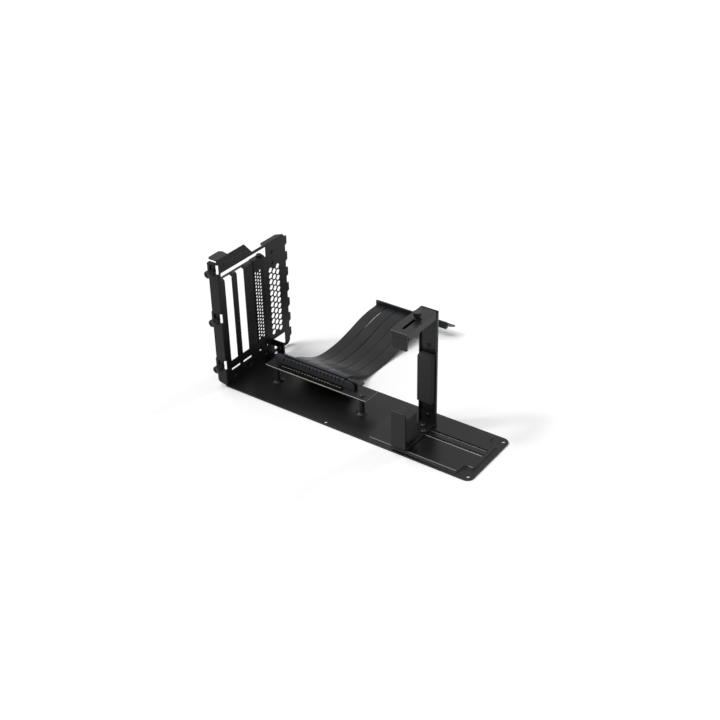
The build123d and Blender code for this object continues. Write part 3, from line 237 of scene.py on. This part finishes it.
def powder_coat(name, colour, rough, gloss, edge_scuff_and_highlight, sharpest):
    """Black powder coat: fine orange peel, cloudy sheen, lighter edges, partly scuffed and partly a
    painted highlight.

    Edges go to the given edge grey, in full where the rounded normal has turned by sharpest."""
    g = Graph(name)
    cloud = g.noise(scale=22.0, detail=2.0)
    peel = g.noise(scale=1500.0, detail=2.0)
    edge, rounded = g.edge(radius=0.0005)
    patchy = g.remap(cloud, 0.35, 0.7, 0.7, 1.3)
    # Lighter edges: partly scuffed coat, partly a painted highlight
    wear_and_highlight = g.rise(g.times(edge, patchy), 0.015, sharpest)
    body = g.mix(cloud, scaled(colour, 0.86), scaled(colour, 1.14))
    g.colour(g.mix(wear_and_highlight, body, (edge_scuff_and_highlight, edge_scuff_and_highlight, edge_scuff_and_highlight)))
    g.rough(g.plus(g.spread(peel, rough - 0.05, rough + 0.06), g.spread(cloud, -0.03, 0.03)))
    g.set(Specular_IOR_Level=gloss)
    g.bump(peel, distance=0.00003, strength=0.3, normal=rounded)
    return g


def support_coat(name):
    return powder_coat(
        name, colour=(0.0095, 0.0095, 0.0098), rough=0.31, gloss=0.225, edge_scuff_and_highlight=0.06, sharpest=0.16
    )


def base_marks(g):
    """The base plate's coat: guide slots with painted shade on their walls and a painted light line
    along their near rim, and painted highlights on the creases.
    """
    x, y, z = g.split(g.at)
    plateau_top = 0.0037
    guide_start, guide_end = 0.2, 0.313
    guides = ((0.00035, 0.46), (0.01005, 0.11))  # middle of the slot, brightness of the painted light line on its near rim
    wall_reach, rim_inner, rim_outer = 0.0017, 0.0016, 0.00225  # from the middle of the slot
    below_top = g.times(
        g.fall(z, plateau_top - 0.00015, plateau_top - 0.00008),
        g.between(x, guide_start - 0.0001, guide_end + 0.0001, 0.0001),
    )
    on_top = g.rise(z, plateau_top - 0.0001, plateau_top - 0.00004)
    straight = g.between(x, guide_start + 0.0012, guide_end - 0.0015, 0.0004)
    # Noise that breaks up the painted light lines
    light_patchiness = g.spread(g.noise(scale=140.0, detail=2.0), 0.8, 1.0)
    for middle, bright in guides:
        walls = g.between(y, middle - wall_reach, middle + wall_reach, 0.00006)
        # Painted shade: the slot's walls below the plateau top go black
        g.darken(g.times(below_top, walls))
        # Painted light line on the plateau top, just in front of each slot
        near = g.between(y, middle - rim_outer, middle - rim_inner, 0.0001)
        rim_light = (bright, bright * 1.02, bright * 1.05)
        g.blend(g.times(on_top, near, straight, light_patchiness), rim_light)

    # Painted highlights on the creases round the plateau, each with its place and softness in x and
    # in y, and its colour
    raised = g.rise(z, 0.0028, 0.0030)
    side_soft, end_soft = 0.0001, 0.0003
    front_crease = ((0.193, 0.3045, end_soft), (-0.0378, -0.0371, side_soft), (0.17, 0.18, 0.2))
    notch_crease = ((0.3088, 0.3146, end_soft), (-0.0238, -0.0230, side_soft), (0.17, 0.18, 0.2))
    left_crease = ((0.19225, 0.1928, side_soft), (-0.037, 0.037, end_soft), (0.05, 0.052, 0.055))
    for along_x, along_y, grey in (front_crease, notch_crease, left_crease):
        g.blend(g.times(raised, g.between(x, *along_x), g.between(y, *along_y), light_patchiness), grey)
    return g.material


ANY = (-1.0, 1.0)  # no limit: the part lies within a metre of the origin


def shaded(g, *zones):
    """A coat with painted shade: dark zones, each given by its range in x, in y and in z."""
    place = g.split(g.at)
    soft = 0.0001
    for zone in zones:
        masks = [g.between(value, low, high, soft) for value, (low, high) in zip(place, zone)]
        g.darken(g.times(*masks))
    return g.material


def pressed_mark_shade(g):
    """The bracket's coat, with painted shade in a half-moon on one side of the rim of its two small
    pressed marks.
    """
    y, z = g.split(g.at)[1:]
    mark_y, mark_heights = 0.0486, (0.1345, 0.1205)
    inner, outer = 0.0015, 0.0025
    for mark_z in mark_heights:
        across = g.minus(y, mark_y)
        along = g.minus(z, mark_z)
        distance = g.math("SQRT", g.plus(g.times(across, across), g.times(along, along)))
        half = g.rise(g.minus(across, along), 0.0, 0.0008)
        g.darken(g.times(g.between(distance, inner, outer, 0.0002), half))
    return g.material


def machined(name, colour, rough, metallic, gloss=0.5):
    """Small turned parts: fine turning marks and bright edges."""
    g = Graph(name)
    marks = g.noise(scale=900.0, detail=3.0)
    blotch = g.noise(scale=160.0, detail=2.0)
    edge, rounded = g.edge(radius=0.0002)
    body = g.mix(blotch, scaled(colour, 0.82), scaled(colour, 1.15))
    g.colour(g.mix(g.rise(edge, 0.03, 0.4), body, scaled(colour, 1.7, 0.01)))
    g.rough(g.spread(marks, rough - 0.08, rough + 0.1))
    g.set(Metallic=metallic, Specular_IOR_Level=gloss)
    g.bump(marks, distance=0.00002, strength=0.5, normal=rounded)
    return g.material


def moulded(name, colour, rough, gloss):
    """Glass-filled nylon: fine spark-eroded grain with soft flow shading."""
    g = Graph(name)
    grain = g.noise(scale=2600.0, detail=2.0)
    flow = g.noise(scale=90.0, detail=3.0)
    edge, rounded = g.edge(radius=0.00018)
    body = g.mix(flow, scaled(colour, 0.8), scaled(colour, 1.2))
    g.colour(g.mix(g.rise(edge, 0.03, 0.4), body, scaled(colour, 2.4)))
    g.rough(g.spread(grain, rough - 0.06, rough + 0.08))
    g.set(Specular_IOR_Level=gloss)
    g.bump(grain, distance=0.00002, strength=0.6, normal=rounded)
    return g


def cavity_shade(g):
    """The riser slot's nylon, with painted shade in its mouth and notches: behind its skin, under
    its top.
    """
    x, y, z = g.split(g.at)
    low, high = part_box("riser_slot")
    latch_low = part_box("slot_latch")[0]
    mouth_start, mouth_end = low.x + 0.0089, latch_low.x - 0.0038
    skin = 0.00012
    behind = g.between(y, low.y + 4 * skin, high.y - 4 * skin, 3 * skin)
    under = g.fall(z, high.z - 0.0006, high.z - 0.0002)
    g.darken(g.times(behind, under, g.between(x, mouth_start, mouth_end, 0.0002)))
    return g.material


def circuit_board(name, node, colour, rim, rim_height):
    """Lacquered board: raised tracks under the lacquer on its faces, bare laminate at its rim.

    The cut rim of the node shows its laminate over rim_height from its top. Below that it is near
    black: painted shade."""
    g = Graph(name)
    y, z = g.split(g.at)[1:]
    track_rate, track_wander, layer_rate = 9000.0, 9.0, 24000.0
    facing_up = g.split(g.add("TexCoord").outputs["Normal"])[2]
    on_rim = g.fall(g.math("ABSOLUTE", facing_up), 0.4, 0.6)
    wander = g.times(g.noise(scale=60.0, detail=1.0), track_wander)
    lanes = g.plus(g.times(y, track_rate), wander)
    tracks = g.rise(g.math("SINE", lanes), 0.35, 0.6)
    layers = g.rise(g.math("SINE", g.times(z, layer_rate)), -1.0, 1.0)
    rim_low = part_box(node)[1].z - rim_height
    # Painted shade: the rim below rim_height goes near black
    rim_lit_top = g.rise(z, rim_low - 0.00008, rim_low + 0.00008)
    laminate = g.mix(rim_lit_top, scaled(rim, 0.08), g.mix(layers, rim, scaled(rim, 0.82)))
    g.colour(g.mix(on_rim, g.mix(tracks, colour, scaled(colour, 1.5, 0.002)), laminate))
    speck = g.noise(scale=1300.0, detail=2.0)
    g.rough(g.plus(g.spread(speck, 0.2, 0.3), g.times(on_rim, 0.45)))
    g.set(Specular_IOR_Level=0.13)
    g.bump(g.plus(tracks, g.times(speck, 0.25)), distance=0.000025, strength=0.5)
    return g


def solder_pads(g):
    """The riser board's lacquer: pale solder pads at the card slot's tails, on a strip of painted
    shade in front of the slot.
    """
    x, y, z = g.split(g.at)
    tails_low, tails_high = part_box("slot_contacts")
    board_low, board_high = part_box("riser_board")
    pad_pitch, pad_front, pad_back = 0.004, 0.0009, 0.0005
    top = g.rise(z, board_high.z - 0.0001, board_high.z - 0.00005)
    # Painted shade on the board's top, between its front rim and the slot's tails
    strip_x = g.between(x, tails_low.x - 0.004, tails_high.x + 0.0045, 0.0004)
    strip_y = g.between(y, board_low.y + 0.0003, tails_high.y, 0.0002)
    g.darken(g.times(top, strip_x, strip_y))
    phase = g.times(g.minus(x, tails_low.x + 0.0004), 2 * pi / pad_pitch)
    dashes = g.rise(g.math("COSINE", phase), 0.3, 0.5)
    row_x = g.between(x, tails_low.x - 0.0002, tails_high.x + 0.0002, 0.0001)
    row_y = g.between(y, tails_low.y - pad_front, tails_low.y + pad_back, 0.0001)
    g.blend(g.times(row_x, dashes, row_y, top), (0.3, 0.275, 0.225), 0.35)
    return g.material


def gold(name):
    """Gold plating, slightly blotched."""
    g = Graph(name)
    fine = g.noise(scale=3200.0, detail=2.0)
    blotch = g.noise(scale=420.0, detail=2.0)
    g.colour(g.mix(blotch, (0.72, 0.53, 0.22), (0.9, 0.72, 0.36)))
    g.rough(g.spread(fine, 0.22, 0.36))
    g.set(Metallic=1.0)
    g.bump(fine, distance=0.00001, strength=0.4)
    return g.material


def cable_sleeve(name):
    """Soft black sleeve: the conductors show as shallow ribs along it, and it is slightly satin."""
    g = Graph(name)
    conductors = 13
    across = g.split(g.add("TexCoord").outputs["UV"])[0]
    ribs = g.math("SINE", g.times(across, 2 * pi * conductors))
    fine = g.noise(scale=1800.0, detail=2.0)
    cloud = g.noise(scale=45.0, detail=2.0)
    g.colour(g.mix(cloud, (0.013, 0.013, 0.0138), (0.018, 0.018, 0.019)))
    g.rough(g.remap(g.plus(fine, g.times(cloud, 0.6)), 0.6, 1.0, 0.28, 0.38))
    g.set(Specular_IOR_Level=0.12)
    g.bump(g.plus(g.times(ribs, 0.5), g.times(fine, 0.5)), distance=0.00003, strength=0.35)
    return g.material


def foam(name):
    """Closed-cell foam: dense small pores and a dusty, rough skin."""
    g = Graph(name)
    cells = g.add("TexVoronoi")
    cells.inputs["Scale"].default_value = 1250.0
    g.link(g.at, cells.inputs["Vector"])
    cloud = g.noise(scale=130.0, detail=3.0)
    pores = g.rise(cells.outputs["Distance"], 0.05, 0.5)
    skin = g.mix(cloud, (0.024, 0.024, 0.025), (0.036, 0.036, 0.037))
    g.colour(g.mix(pores, (0.012, 0.012, 0.012), skin))
    g.rough(g.spread(cloud, 0.82, 0.95))
    g.set(Specular_IOR_Level=0.2)
    g.bump(g.plus(pores, g.times(cloud, 0.8)), distance=0.00012, strength=0.5)
    return g.material


coat = support_coat("coat").material
# Painted shade on parts of the foot, the arm and the post
foot_coat = shaded(
    support_coat("foot_coat"),
    ((0.2419, 1.0), ANY, ANY),  # the cut edge that faces the free end
    ((-1.0, 0.2411), (-0.0385, 1.0), ANY),  # the floor, and the tab at the post
)
arm_coat = shaded(support_coat("arm_coat"), (ANY, (0.0168, 1.0), (0.14, 1.0)))  # its back end
post_coat = shaded(support_coat("post_coat"), (ANY, ANY, (0.1452, 1.0)))  # its top edge
base_coat = base_marks(powder_coat(
    "base_coat", colour=(0.0072, 0.0072, 0.0075), rough=0.31, gloss=0.215, edge_scuff_and_highlight=0.07, sharpest=0.1
))
bracket_coat = pressed_mark_shade(powder_coat(
    "bracket_coat", colour=(0.0095, 0.0095, 0.0098), rough=0.34, gloss=0.165, edge_scuff_and_highlight=0.035,
    sharpest=0.35,
))
cover_coat = powder_coat(
    "cover_coat", colour=(0.008, 0.008, 0.0083), rough=0.34, gloss=0.13, edge_scuff_and_highlight=0.05, sharpest=0.3
).material
black_screw = machined("black_screw", (0.004, 0.004, 0.0042), rough=0.26, metallic=0.0, gloss=0.12)
oxide = machined("black_oxide", (0.018, 0.018, 0.0185), rough=0.28, metallic=0.0, gloss=0.32)
zinc = machined("zinc", (0.06, 0.06, 0.062), rough=0.4, metallic=0.8)
dark_zinc = machined("dark_zinc", (0.03, 0.03, 0.031), rough=0.4, metallic=0.5)
tin = machined("tin", (0.3, 0.265, 0.2), rough=0.3, metallic=1.0)
nylon = moulded("nylon", (0.018, 0.0185, 0.021), rough=0.45, gloss=0.18).material
plug_shell = moulded("plug_shell", (0.012, 0.015, 0.017), rough=0.4, gloss=0.2).material
slot_nylon = cavity_shade(moulded("slot_nylon", (0.023, 0.024, 0.028), rough=0.45, gloss=0.16))
lacquer = solder_pads(circuit_board(
    "lacquer", "riser_board", colour=(0.018, 0.018, 0.019), rim=(0.7, 0.69, 0.64), rim_height=0.0007
))
plug_lacquer = circuit_board(
    "plug_lacquer", "plug_board", colour=(0.04, 0.042, 0.044), rim=(0.5, 0.46, 0.36),
    rim_height=0.0008,
).material
gilt = gold("gilt")
sleeve = cable_sleeve("sleeve")
foam_skin = foam("foam_skin")

finishes = (
    (base_coat, "base_plate"),
    (bracket_coat, "slot_bracket foot_rivets"),
    (cover_coat, "slot_cover"),
    (coat, "jaw"),
    (foot_coat, "support_foot"),
    (post_coat, "support_post"),
    (arm_coat, "support_arm"),
    (black_screw, "cover_screw post_rivet arm_rivet"),
    (oxide, "ear_screw top_thumbscrew middle_thumbscrew bottom_thumbscrew"),
    (oxide, "jaw_nut jaw_washer jaw_thumbscrew"),
    (zinc, "standoff_screws"),
    (dark_zinc, "riser_standoffs board_screw nut_plate foot_screws"),
    (lacquer, "riser_board"),
    (slot_nylon, "riser_slot"),
    (tin, "slot_contacts"),
    (nylon, "slot_latch"),
    (plug_shell, "plug_housing"),
    (plug_lacquer, "plug_board"),
    (gilt, "plug_contacts"),
    (sleeve, "ribbon_strip_1 ribbon_strip_2 ribbon_strip_3 ribbon_strip_4 ribbon_strip_5"),
    (foam_skin, "foot_pad post_pad jaw_pad"),
)
for finish, names in finishes:
    for name in names.split():
        mesh = nodes[name].data
        if not mesh.materials:
            mesh.materials.append(finish)
        for i in range(len(mesh.materials)):
            mesh.materials[i] = finish


# Mesh helpers
def add_prism(mesh, left_x, right_x, outline):
    """A closed block from left_x to right_x over the outline in (y, z)."""
    left = [mesh.verts.new((left_x, y, z)) for y, z in outline]
    right = [mesh.verts.new((right_x, y, z)) for y, z in outline]
    mesh.faces.new(left)
    mesh.faces.new(list(reversed(right)))
    for k in range(len(outline)):
        m = (k + 1) % len(outline)
        mesh.faces.new((left[k], right[k], right[m], left[m]))


def new_piece(name, mesh, material, smooth=True):
    """Turns the bmesh into an object of the scene, and frees it."""
    bmesh.ops.recalc_face_normals(mesh, faces=mesh.faces)
    data = bpy.data.meshes.new(name)
    mesh.to_mesh(data)
    mesh.free()
    piece = bpy.data.objects.new(name, data)
    scene.collection.objects.link(piece)
    data.materials.append(material)
    for polygon in data.polygons:
        polygon.use_smooth = smooth
    return piece


# Flat cable: five strips side by side along one route, given by the CAD route's points in (y, z)
ROUTE = [
    (0.0105, 0.0240), (0.0185, 0.0238), (0.0315, 0.0188), (0.0450, 0.0106), (0.0585, 0.0040),
    (0.0750, 0.0011), (0.0935, 0.00075), (0.1120, 0.0026), (0.1300, 0.0066), (0.1480, 0.0110),
    (0.1640, 0.0137), (0.1780, 0.0146), (0.1896, 0.0147),
]
STRIP_COUNT = 5
STRIP_PITCH = 0.015
STRIP_FIRST = 0.0563  # x of the first strip's middle
STRIP_HALF = 0.00738
STRIP_HALF_THICK = 0.0006
STRIP_ROUNDING = 0.00055
STRIP_CROWN = 0.00012  # how far the wide faces swell in their middle
STRIP_SWAY = 0.00012  # how far the strip wavers out of the route
CORNER_POINTS = 6
FACE_STEPS = 12
# Soft cable opens up a little in two places: their y, their reach, and each strip's drift in x
OPENINGS = (
    (0.158, 0.020, (-0.00042, 0.00022, 0.00008, 0.0, 0.0)),
    (0.112, 0.030, (-0.00030, -0.00040, 0.00038, 0.00012, 0.0)),
)


def route_points(x):
    """Points of the NURBS curve that has the route's points as its control points."""
    curve = bpy.data.curves.new("route", "CURVE")
    curve.dimensions = "3D"
    curve.resolution_u = 10
    spline = curve.splines.new("NURBS")
    spline.points.add(len(ROUTE) - 1)
    for point, (y, z) in zip(spline.points, ROUTE):
        point.co = (x, y, z, 1.0)
    spline.order_u = 3
    spline.use_endpoint_u = True
    carrier = bpy.data.objects.new("route", curve)
    scene.collection.objects.link(carrier)
    bpy.context.view_layer.update()
    evaluated = carrier.evaluated_get(bpy.context.evaluated_depsgraph_get())
    line = bpy.data.meshes.new_from_object(evaluated)
    points = [v.co.copy() for v in line.vertices]
    bpy.data.objects.remove(carrier)
    bpy.data.curves.remove(curve)
    bpy.data.meshes.remove(line)
    return points


def bell(value, middle, reach):
    return 1.0 / (1.0 + ((value - middle) / reach) ** 4)


def strip_shift(i, y):
    """Sideways drift of strip i at y."""
    return sum(drifts[i] * bell(y, middle, reach) for middle, reach, drifts in OPENINGS)


def strip_section():
    """Outline of a strip, across and through it: rounded corners, slightly swollen wide faces."""
    flat_half = STRIP_HALF - STRIP_ROUNDING
    section = []
    for corner, (side_x, side_z) in enumerate(((1, 1), (-1, 1), (-1, -1), (1, -1))):
        for k in range(CORNER_POINTS):
            angle = pi / 2 * (corner + k / (CORNER_POINTS - 1))
            section.append((
                side_x * flat_half + STRIP_ROUNDING * cos(angle),
                side_z * (STRIP_HALF_THICK - STRIP_ROUNDING) + STRIP_ROUNDING * sin(angle),
            ))
        if corner in (0, 2):
            side = 1 if corner == 0 else -1
            for k in range(1, FACE_STEPS):
                t = 1 - 2 * k / FACE_STEPS
                crown = STRIP_CROWN * (1 - t * t)
                section.append((side * t * flat_half, side * (STRIP_HALF_THICK + crown)))
    return section


def make_strip(i):
    x = STRIP_FIRST + STRIP_PITCH * i
    points = route_points(x)
    for p in points:
        p.x += strip_shift(i, p.y)
    section = strip_section()
    sway_rate, sway_step, uv_rate = 60, 7.3, 60
    mesh = bmesh.new()
    uv_layer = mesh.loops.layers.uv.new("UVMap")
    across = Vector((1, 0, 0))
    rings = []
    travelled = 0.0
    along = []
    for n, p in enumerate(points):
        before = points[max(0, n - 1)]
        after = points[min(len(points) - 1, n + 1)]
        tangent = (after - before).normalized()
        normal = across.cross(tangent).normalized()
        sway = STRIP_SWAY * noise.noise(Vector((i * sway_step, p.y * sway_rate, 0.0)))
        rings.append([mesh.verts.new(p + across * u + normal * (v + sway)) for u, v in section])
        if n:
            travelled += (p - points[n - 1]).length
        along.append(travelled)
    count = len(section)
    for n in range(len(rings) - 1):
        for k in range(count):
            m = (k + 1) % count
            corners = ((n, k), (n, m), (n + 1, m), (n + 1, k))
            face = mesh.faces.new([rings[ring][point] for ring, point in corners])
            for loop, (ring, point) in zip(face.loops, corners):
                u = 0.5 + section[point][0] / (2 * STRIP_HALF)
                loop[uv_layer].uv = (u, along[ring] * uv_rate)
    mesh.faces.new(list(reversed(rings[0])))
    mesh.faces.new(rings[-1])
    piece = new_piece(f"flat_cable_{i + 1}", mesh, sleeve)
    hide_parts(f"ribbon_strip_{i + 1}")
    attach(piece, "mount")


for i in range(STRIP_COUNT):
    make_strip(i)


# Foam pads: soft-edged blocks with a slightly uneven skin
FOAM_CELL = 0.0006
FOAM_WAVE_RATE = 220.0


def foam_block(name, node, body, outline, left_x, right_x, rounding, crown):
    """A block over the outline in (y, z), rounded, its skin sunk by between 0 and 2 crowns."""
    block = bmesh.new()
    add_prism(block, left_x, right_x, outline)
    piece = new_piece(name, block, foam_skin)
    sharp = piece.data
    bevel = piece.modifiers.new("round", "BEVEL")
    bevel.width = rounding
    bevel.segments = 4
    bevel.limit_method = "ANGLE"
    remesh = piece.modifiers.new("cells", "REMESH")
    remesh.mode = "VOXEL"
    remesh.voxel_size = FOAM_CELL
    bpy.context.view_layer.update()
    evaluated = piece.evaluated_get(bpy.context.evaluated_depsgraph_get())
    fine = bpy.data.meshes.new_from_object(evaluated)
    piece.modifiers.clear()
    piece.data = fine
    bpy.data.meshes.remove(sharp)
    fine.name = name
    fine.materials.clear()
    fine.materials.append(foam_skin)
    shape = bmesh.new()
    shape.from_mesh(fine)
    bmesh.ops.smooth_vert(
        shape, verts=shape.verts, factor=0.5, use_axis_x=True, use_axis_y=True, use_axis_z=True
    )
    for v in shape.verts:
        wave = noise.noise(v.co * FOAM_WAVE_RATE) * crown
        v.co += v.normal * (wave - crown)
    shape.to_mesh(fine)
    shape.free()
    for polygon in fine.polygons:
        polygon.use_smooth = True
    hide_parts(node)
    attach(piece, body)


# The foot's pad has one large chamfer, along its lower front edge
low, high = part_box("foot_pad")
chamfer = 0.006
foam_block(
    "foot_foam", "foot_pad", "support",
    [
        (low.y, low.z + chamfer), (low.y + chamfer, low.z), (high.y, low.z), (high.y, high.z),
        (low.y, high.z),
    ],
    low.x, high.x, rounding=0.0012, crown=0.00006,
)

# The post's pad has both its front edges chamfered, and is a little narrower than its node
low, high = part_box("post_pad")
chamfer = 0.0016
inset = 0.0004
foam_block(
    "post_foam", "post_pad", "support",
    [
        (low.y, low.z + chamfer), (low.y + chamfer, low.z), (high.y, low.z), (high.y, high.z),
        (low.y + chamfer, high.z), (low.y, high.z - chamfer),
    ],
    low.x + inset, high.x - inset, rounding=0.0014, crown=0.00006,
)

# The jaw's pad narrows downwards
low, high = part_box("jaw_pad")
chamfer = 0.0008
lower_depth = 0.0016
foam_block(
    "jaw_foam", "jaw_pad", "jaw",
    [
        (low.y, high.z - chamfer), (low.y + chamfer, high.z), (high.y, high.z),
        (low.y + lower_depth, low.z), (low.y, low.z),
    ],
    low.x, high.x, rounding=0.0005, crown=0.00005,
)


# Ribs between the notches on both flanks of the riser slot
def flank_ribs():
    low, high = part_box("riser_slot")
    start, length, margin, count = 0.0454, 0.089, 0.0033, 16
    gap, proud, root, lip, end_inset = 0.0016, 0.0006, 0.0001, 0.00025, 0.0002
    pitch = (length - 2 * margin) / count
    bottom, top = high.z - 0.0040, high.z - 0.0001
    edges = [start + end_inset]
    for i in range(count):
        middle = start + margin + pitch * (i + 0.5)
        edges += [middle - gap / 2, middle + gap / 2]
    edges.append(start + length - end_inset)
    mesh = bmesh.new()
    for wall, side in ((low.y, -1), (high.y, 1)):
        inner, outer = wall - side * root, wall + side * proud
        outline = [
            (inner, bottom), (outer - side * lip, bottom), (outer, bottom + lip),
            (outer, top - lip), (outer - side * lip, top), (inner, top),
        ]
        for left_x, right_x in zip(edges[0::2], edges[1::2]):
            add_prism(mesh, left_x, right_x, outline)
    piece = new_piece("flank_ribs", mesh, slot_nylon, smooth=False)
    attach(piece, "mount")


flank_ribs()


# Contact blades inside the mouth of the riser slot, with a gap at its key
def contact_blades():
    start, pitch, count = 0.0500, 0.001, 82
    gap_start, gap_end = 0.0594, 0.0625
    middle, mouth_half, top = 0.0034, 0.0009, 0.0318
    half_width, proud = 0.0002, 0.0003
    tip_top, tip_bottom, bottom = top - 0.0006, top - 0.0022, top - 0.0036
    mesh = bmesh.new()
    for i in range(count):
        x = start + i * pitch
        if gap_start < x < gap_end:
            continue
        for side in (-1, 1):
            wall = middle + side * mouth_half
            tip = wall - side * proud
            outline = [(wall, top), (tip, tip_top), (tip, tip_bottom), (wall, bottom)]
            add_prism(mesh, x - half_width, x + half_width, outline)
    piece = new_piece("mouth_blades", mesh, gilt, smooth=False)
    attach(piece, "mount")


contact_blades()


# Floor, light and background
def make_floor():
    half, level = 6.0, -0.0003
    material = bpy.data.materials.new("floor")
    material.use_nodes = True
    shader = material.node_tree.nodes["Principled BSDF"]
    shader.inputs["Base Color"].default_value = (0.9, 0.9, 0.9, 1.0)
    shader.inputs["Roughness"].default_value = 0.9
    shader.inputs["Specular IOR Level"].default_value = 0.1
    data = bpy.data.meshes.new("floor")
    data.from_pydata(
        [(-half, -half, level), (half, -half, level), (half, half, level), (-half, half, level)],
        [], [(0, 1, 2, 3)],
    )
    floor = bpy.data.objects.new("floor", data)
    scene.collection.objects.link(floor)
    data.materials.append(material)
    floor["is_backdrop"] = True


def make_world():
    """White to the camera and in reflections, and a weaker fill for diffuse light."""
    world = bpy.data.worlds.new("studio")
    scene.world = world
    world.use_nodes = True
    tree = world.node_tree
    tree.nodes.clear()

    def white(strength):
        node = tree.nodes.new("ShaderNodeBackground")
        node.inputs["Color"].default_value = (1, 1, 1, 1)
        node.inputs["Strength"].default_value = strength
        return node.outputs[0]

    def either(a, b):
        node = tree.nodes.new("ShaderNodeMath")
        node.operation = "MAXIMUM"
        tree.links.new(a, node.inputs[0])
        tree.links.new(b, node.inputs[1])
        return node.outputs[0]

    path = tree.nodes.new("ShaderNodeLightPath").outputs
    mirrored = either(path["Is Glossy Ray"], path["Is Transmission Ray"])
    mix = tree.nodes.new("ShaderNodeMixShader")
    tree.links.new(either(path["Is Camera Ray"], mirrored), mix.inputs[0])
    tree.links.new(white(strength=0.26), mix.inputs[1])
    tree.links.new(white(strength=1.0), mix.inputs[2])
    output = tree.nodes.new("ShaderNodeOutputWorld")
    tree.links.new(mix.outputs[0], output.inputs["Surface"])


def sun_light(name, source, power, spread):
    """A sun in the direction source, its disc spread over that many degrees."""
    data = bpy.data.lights.new(name, "SUN")
    data.energy = power
    data.angle = radians(spread)
    light = bpy.data.objects.new(name, data)
    scene.collection.objects.link(light)
    light.rotation_mode = "QUATERNION"
    light.rotation_quaternion = Vector([-c for c in source]).to_track_quat("-Z", "Y")


make_floor()
make_world()
sun_light("key", source=(-0.5, -0.2, 0.84), power=2.6, spread=65.0)
sun_light("edge_front", source=(-0.497, -0.45, 0.74), power=0.6, spread=7.0)
sun_light("edge_back", source=(0.2, 0.69, 0.69), power=0.35, spread=7.0)

low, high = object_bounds()
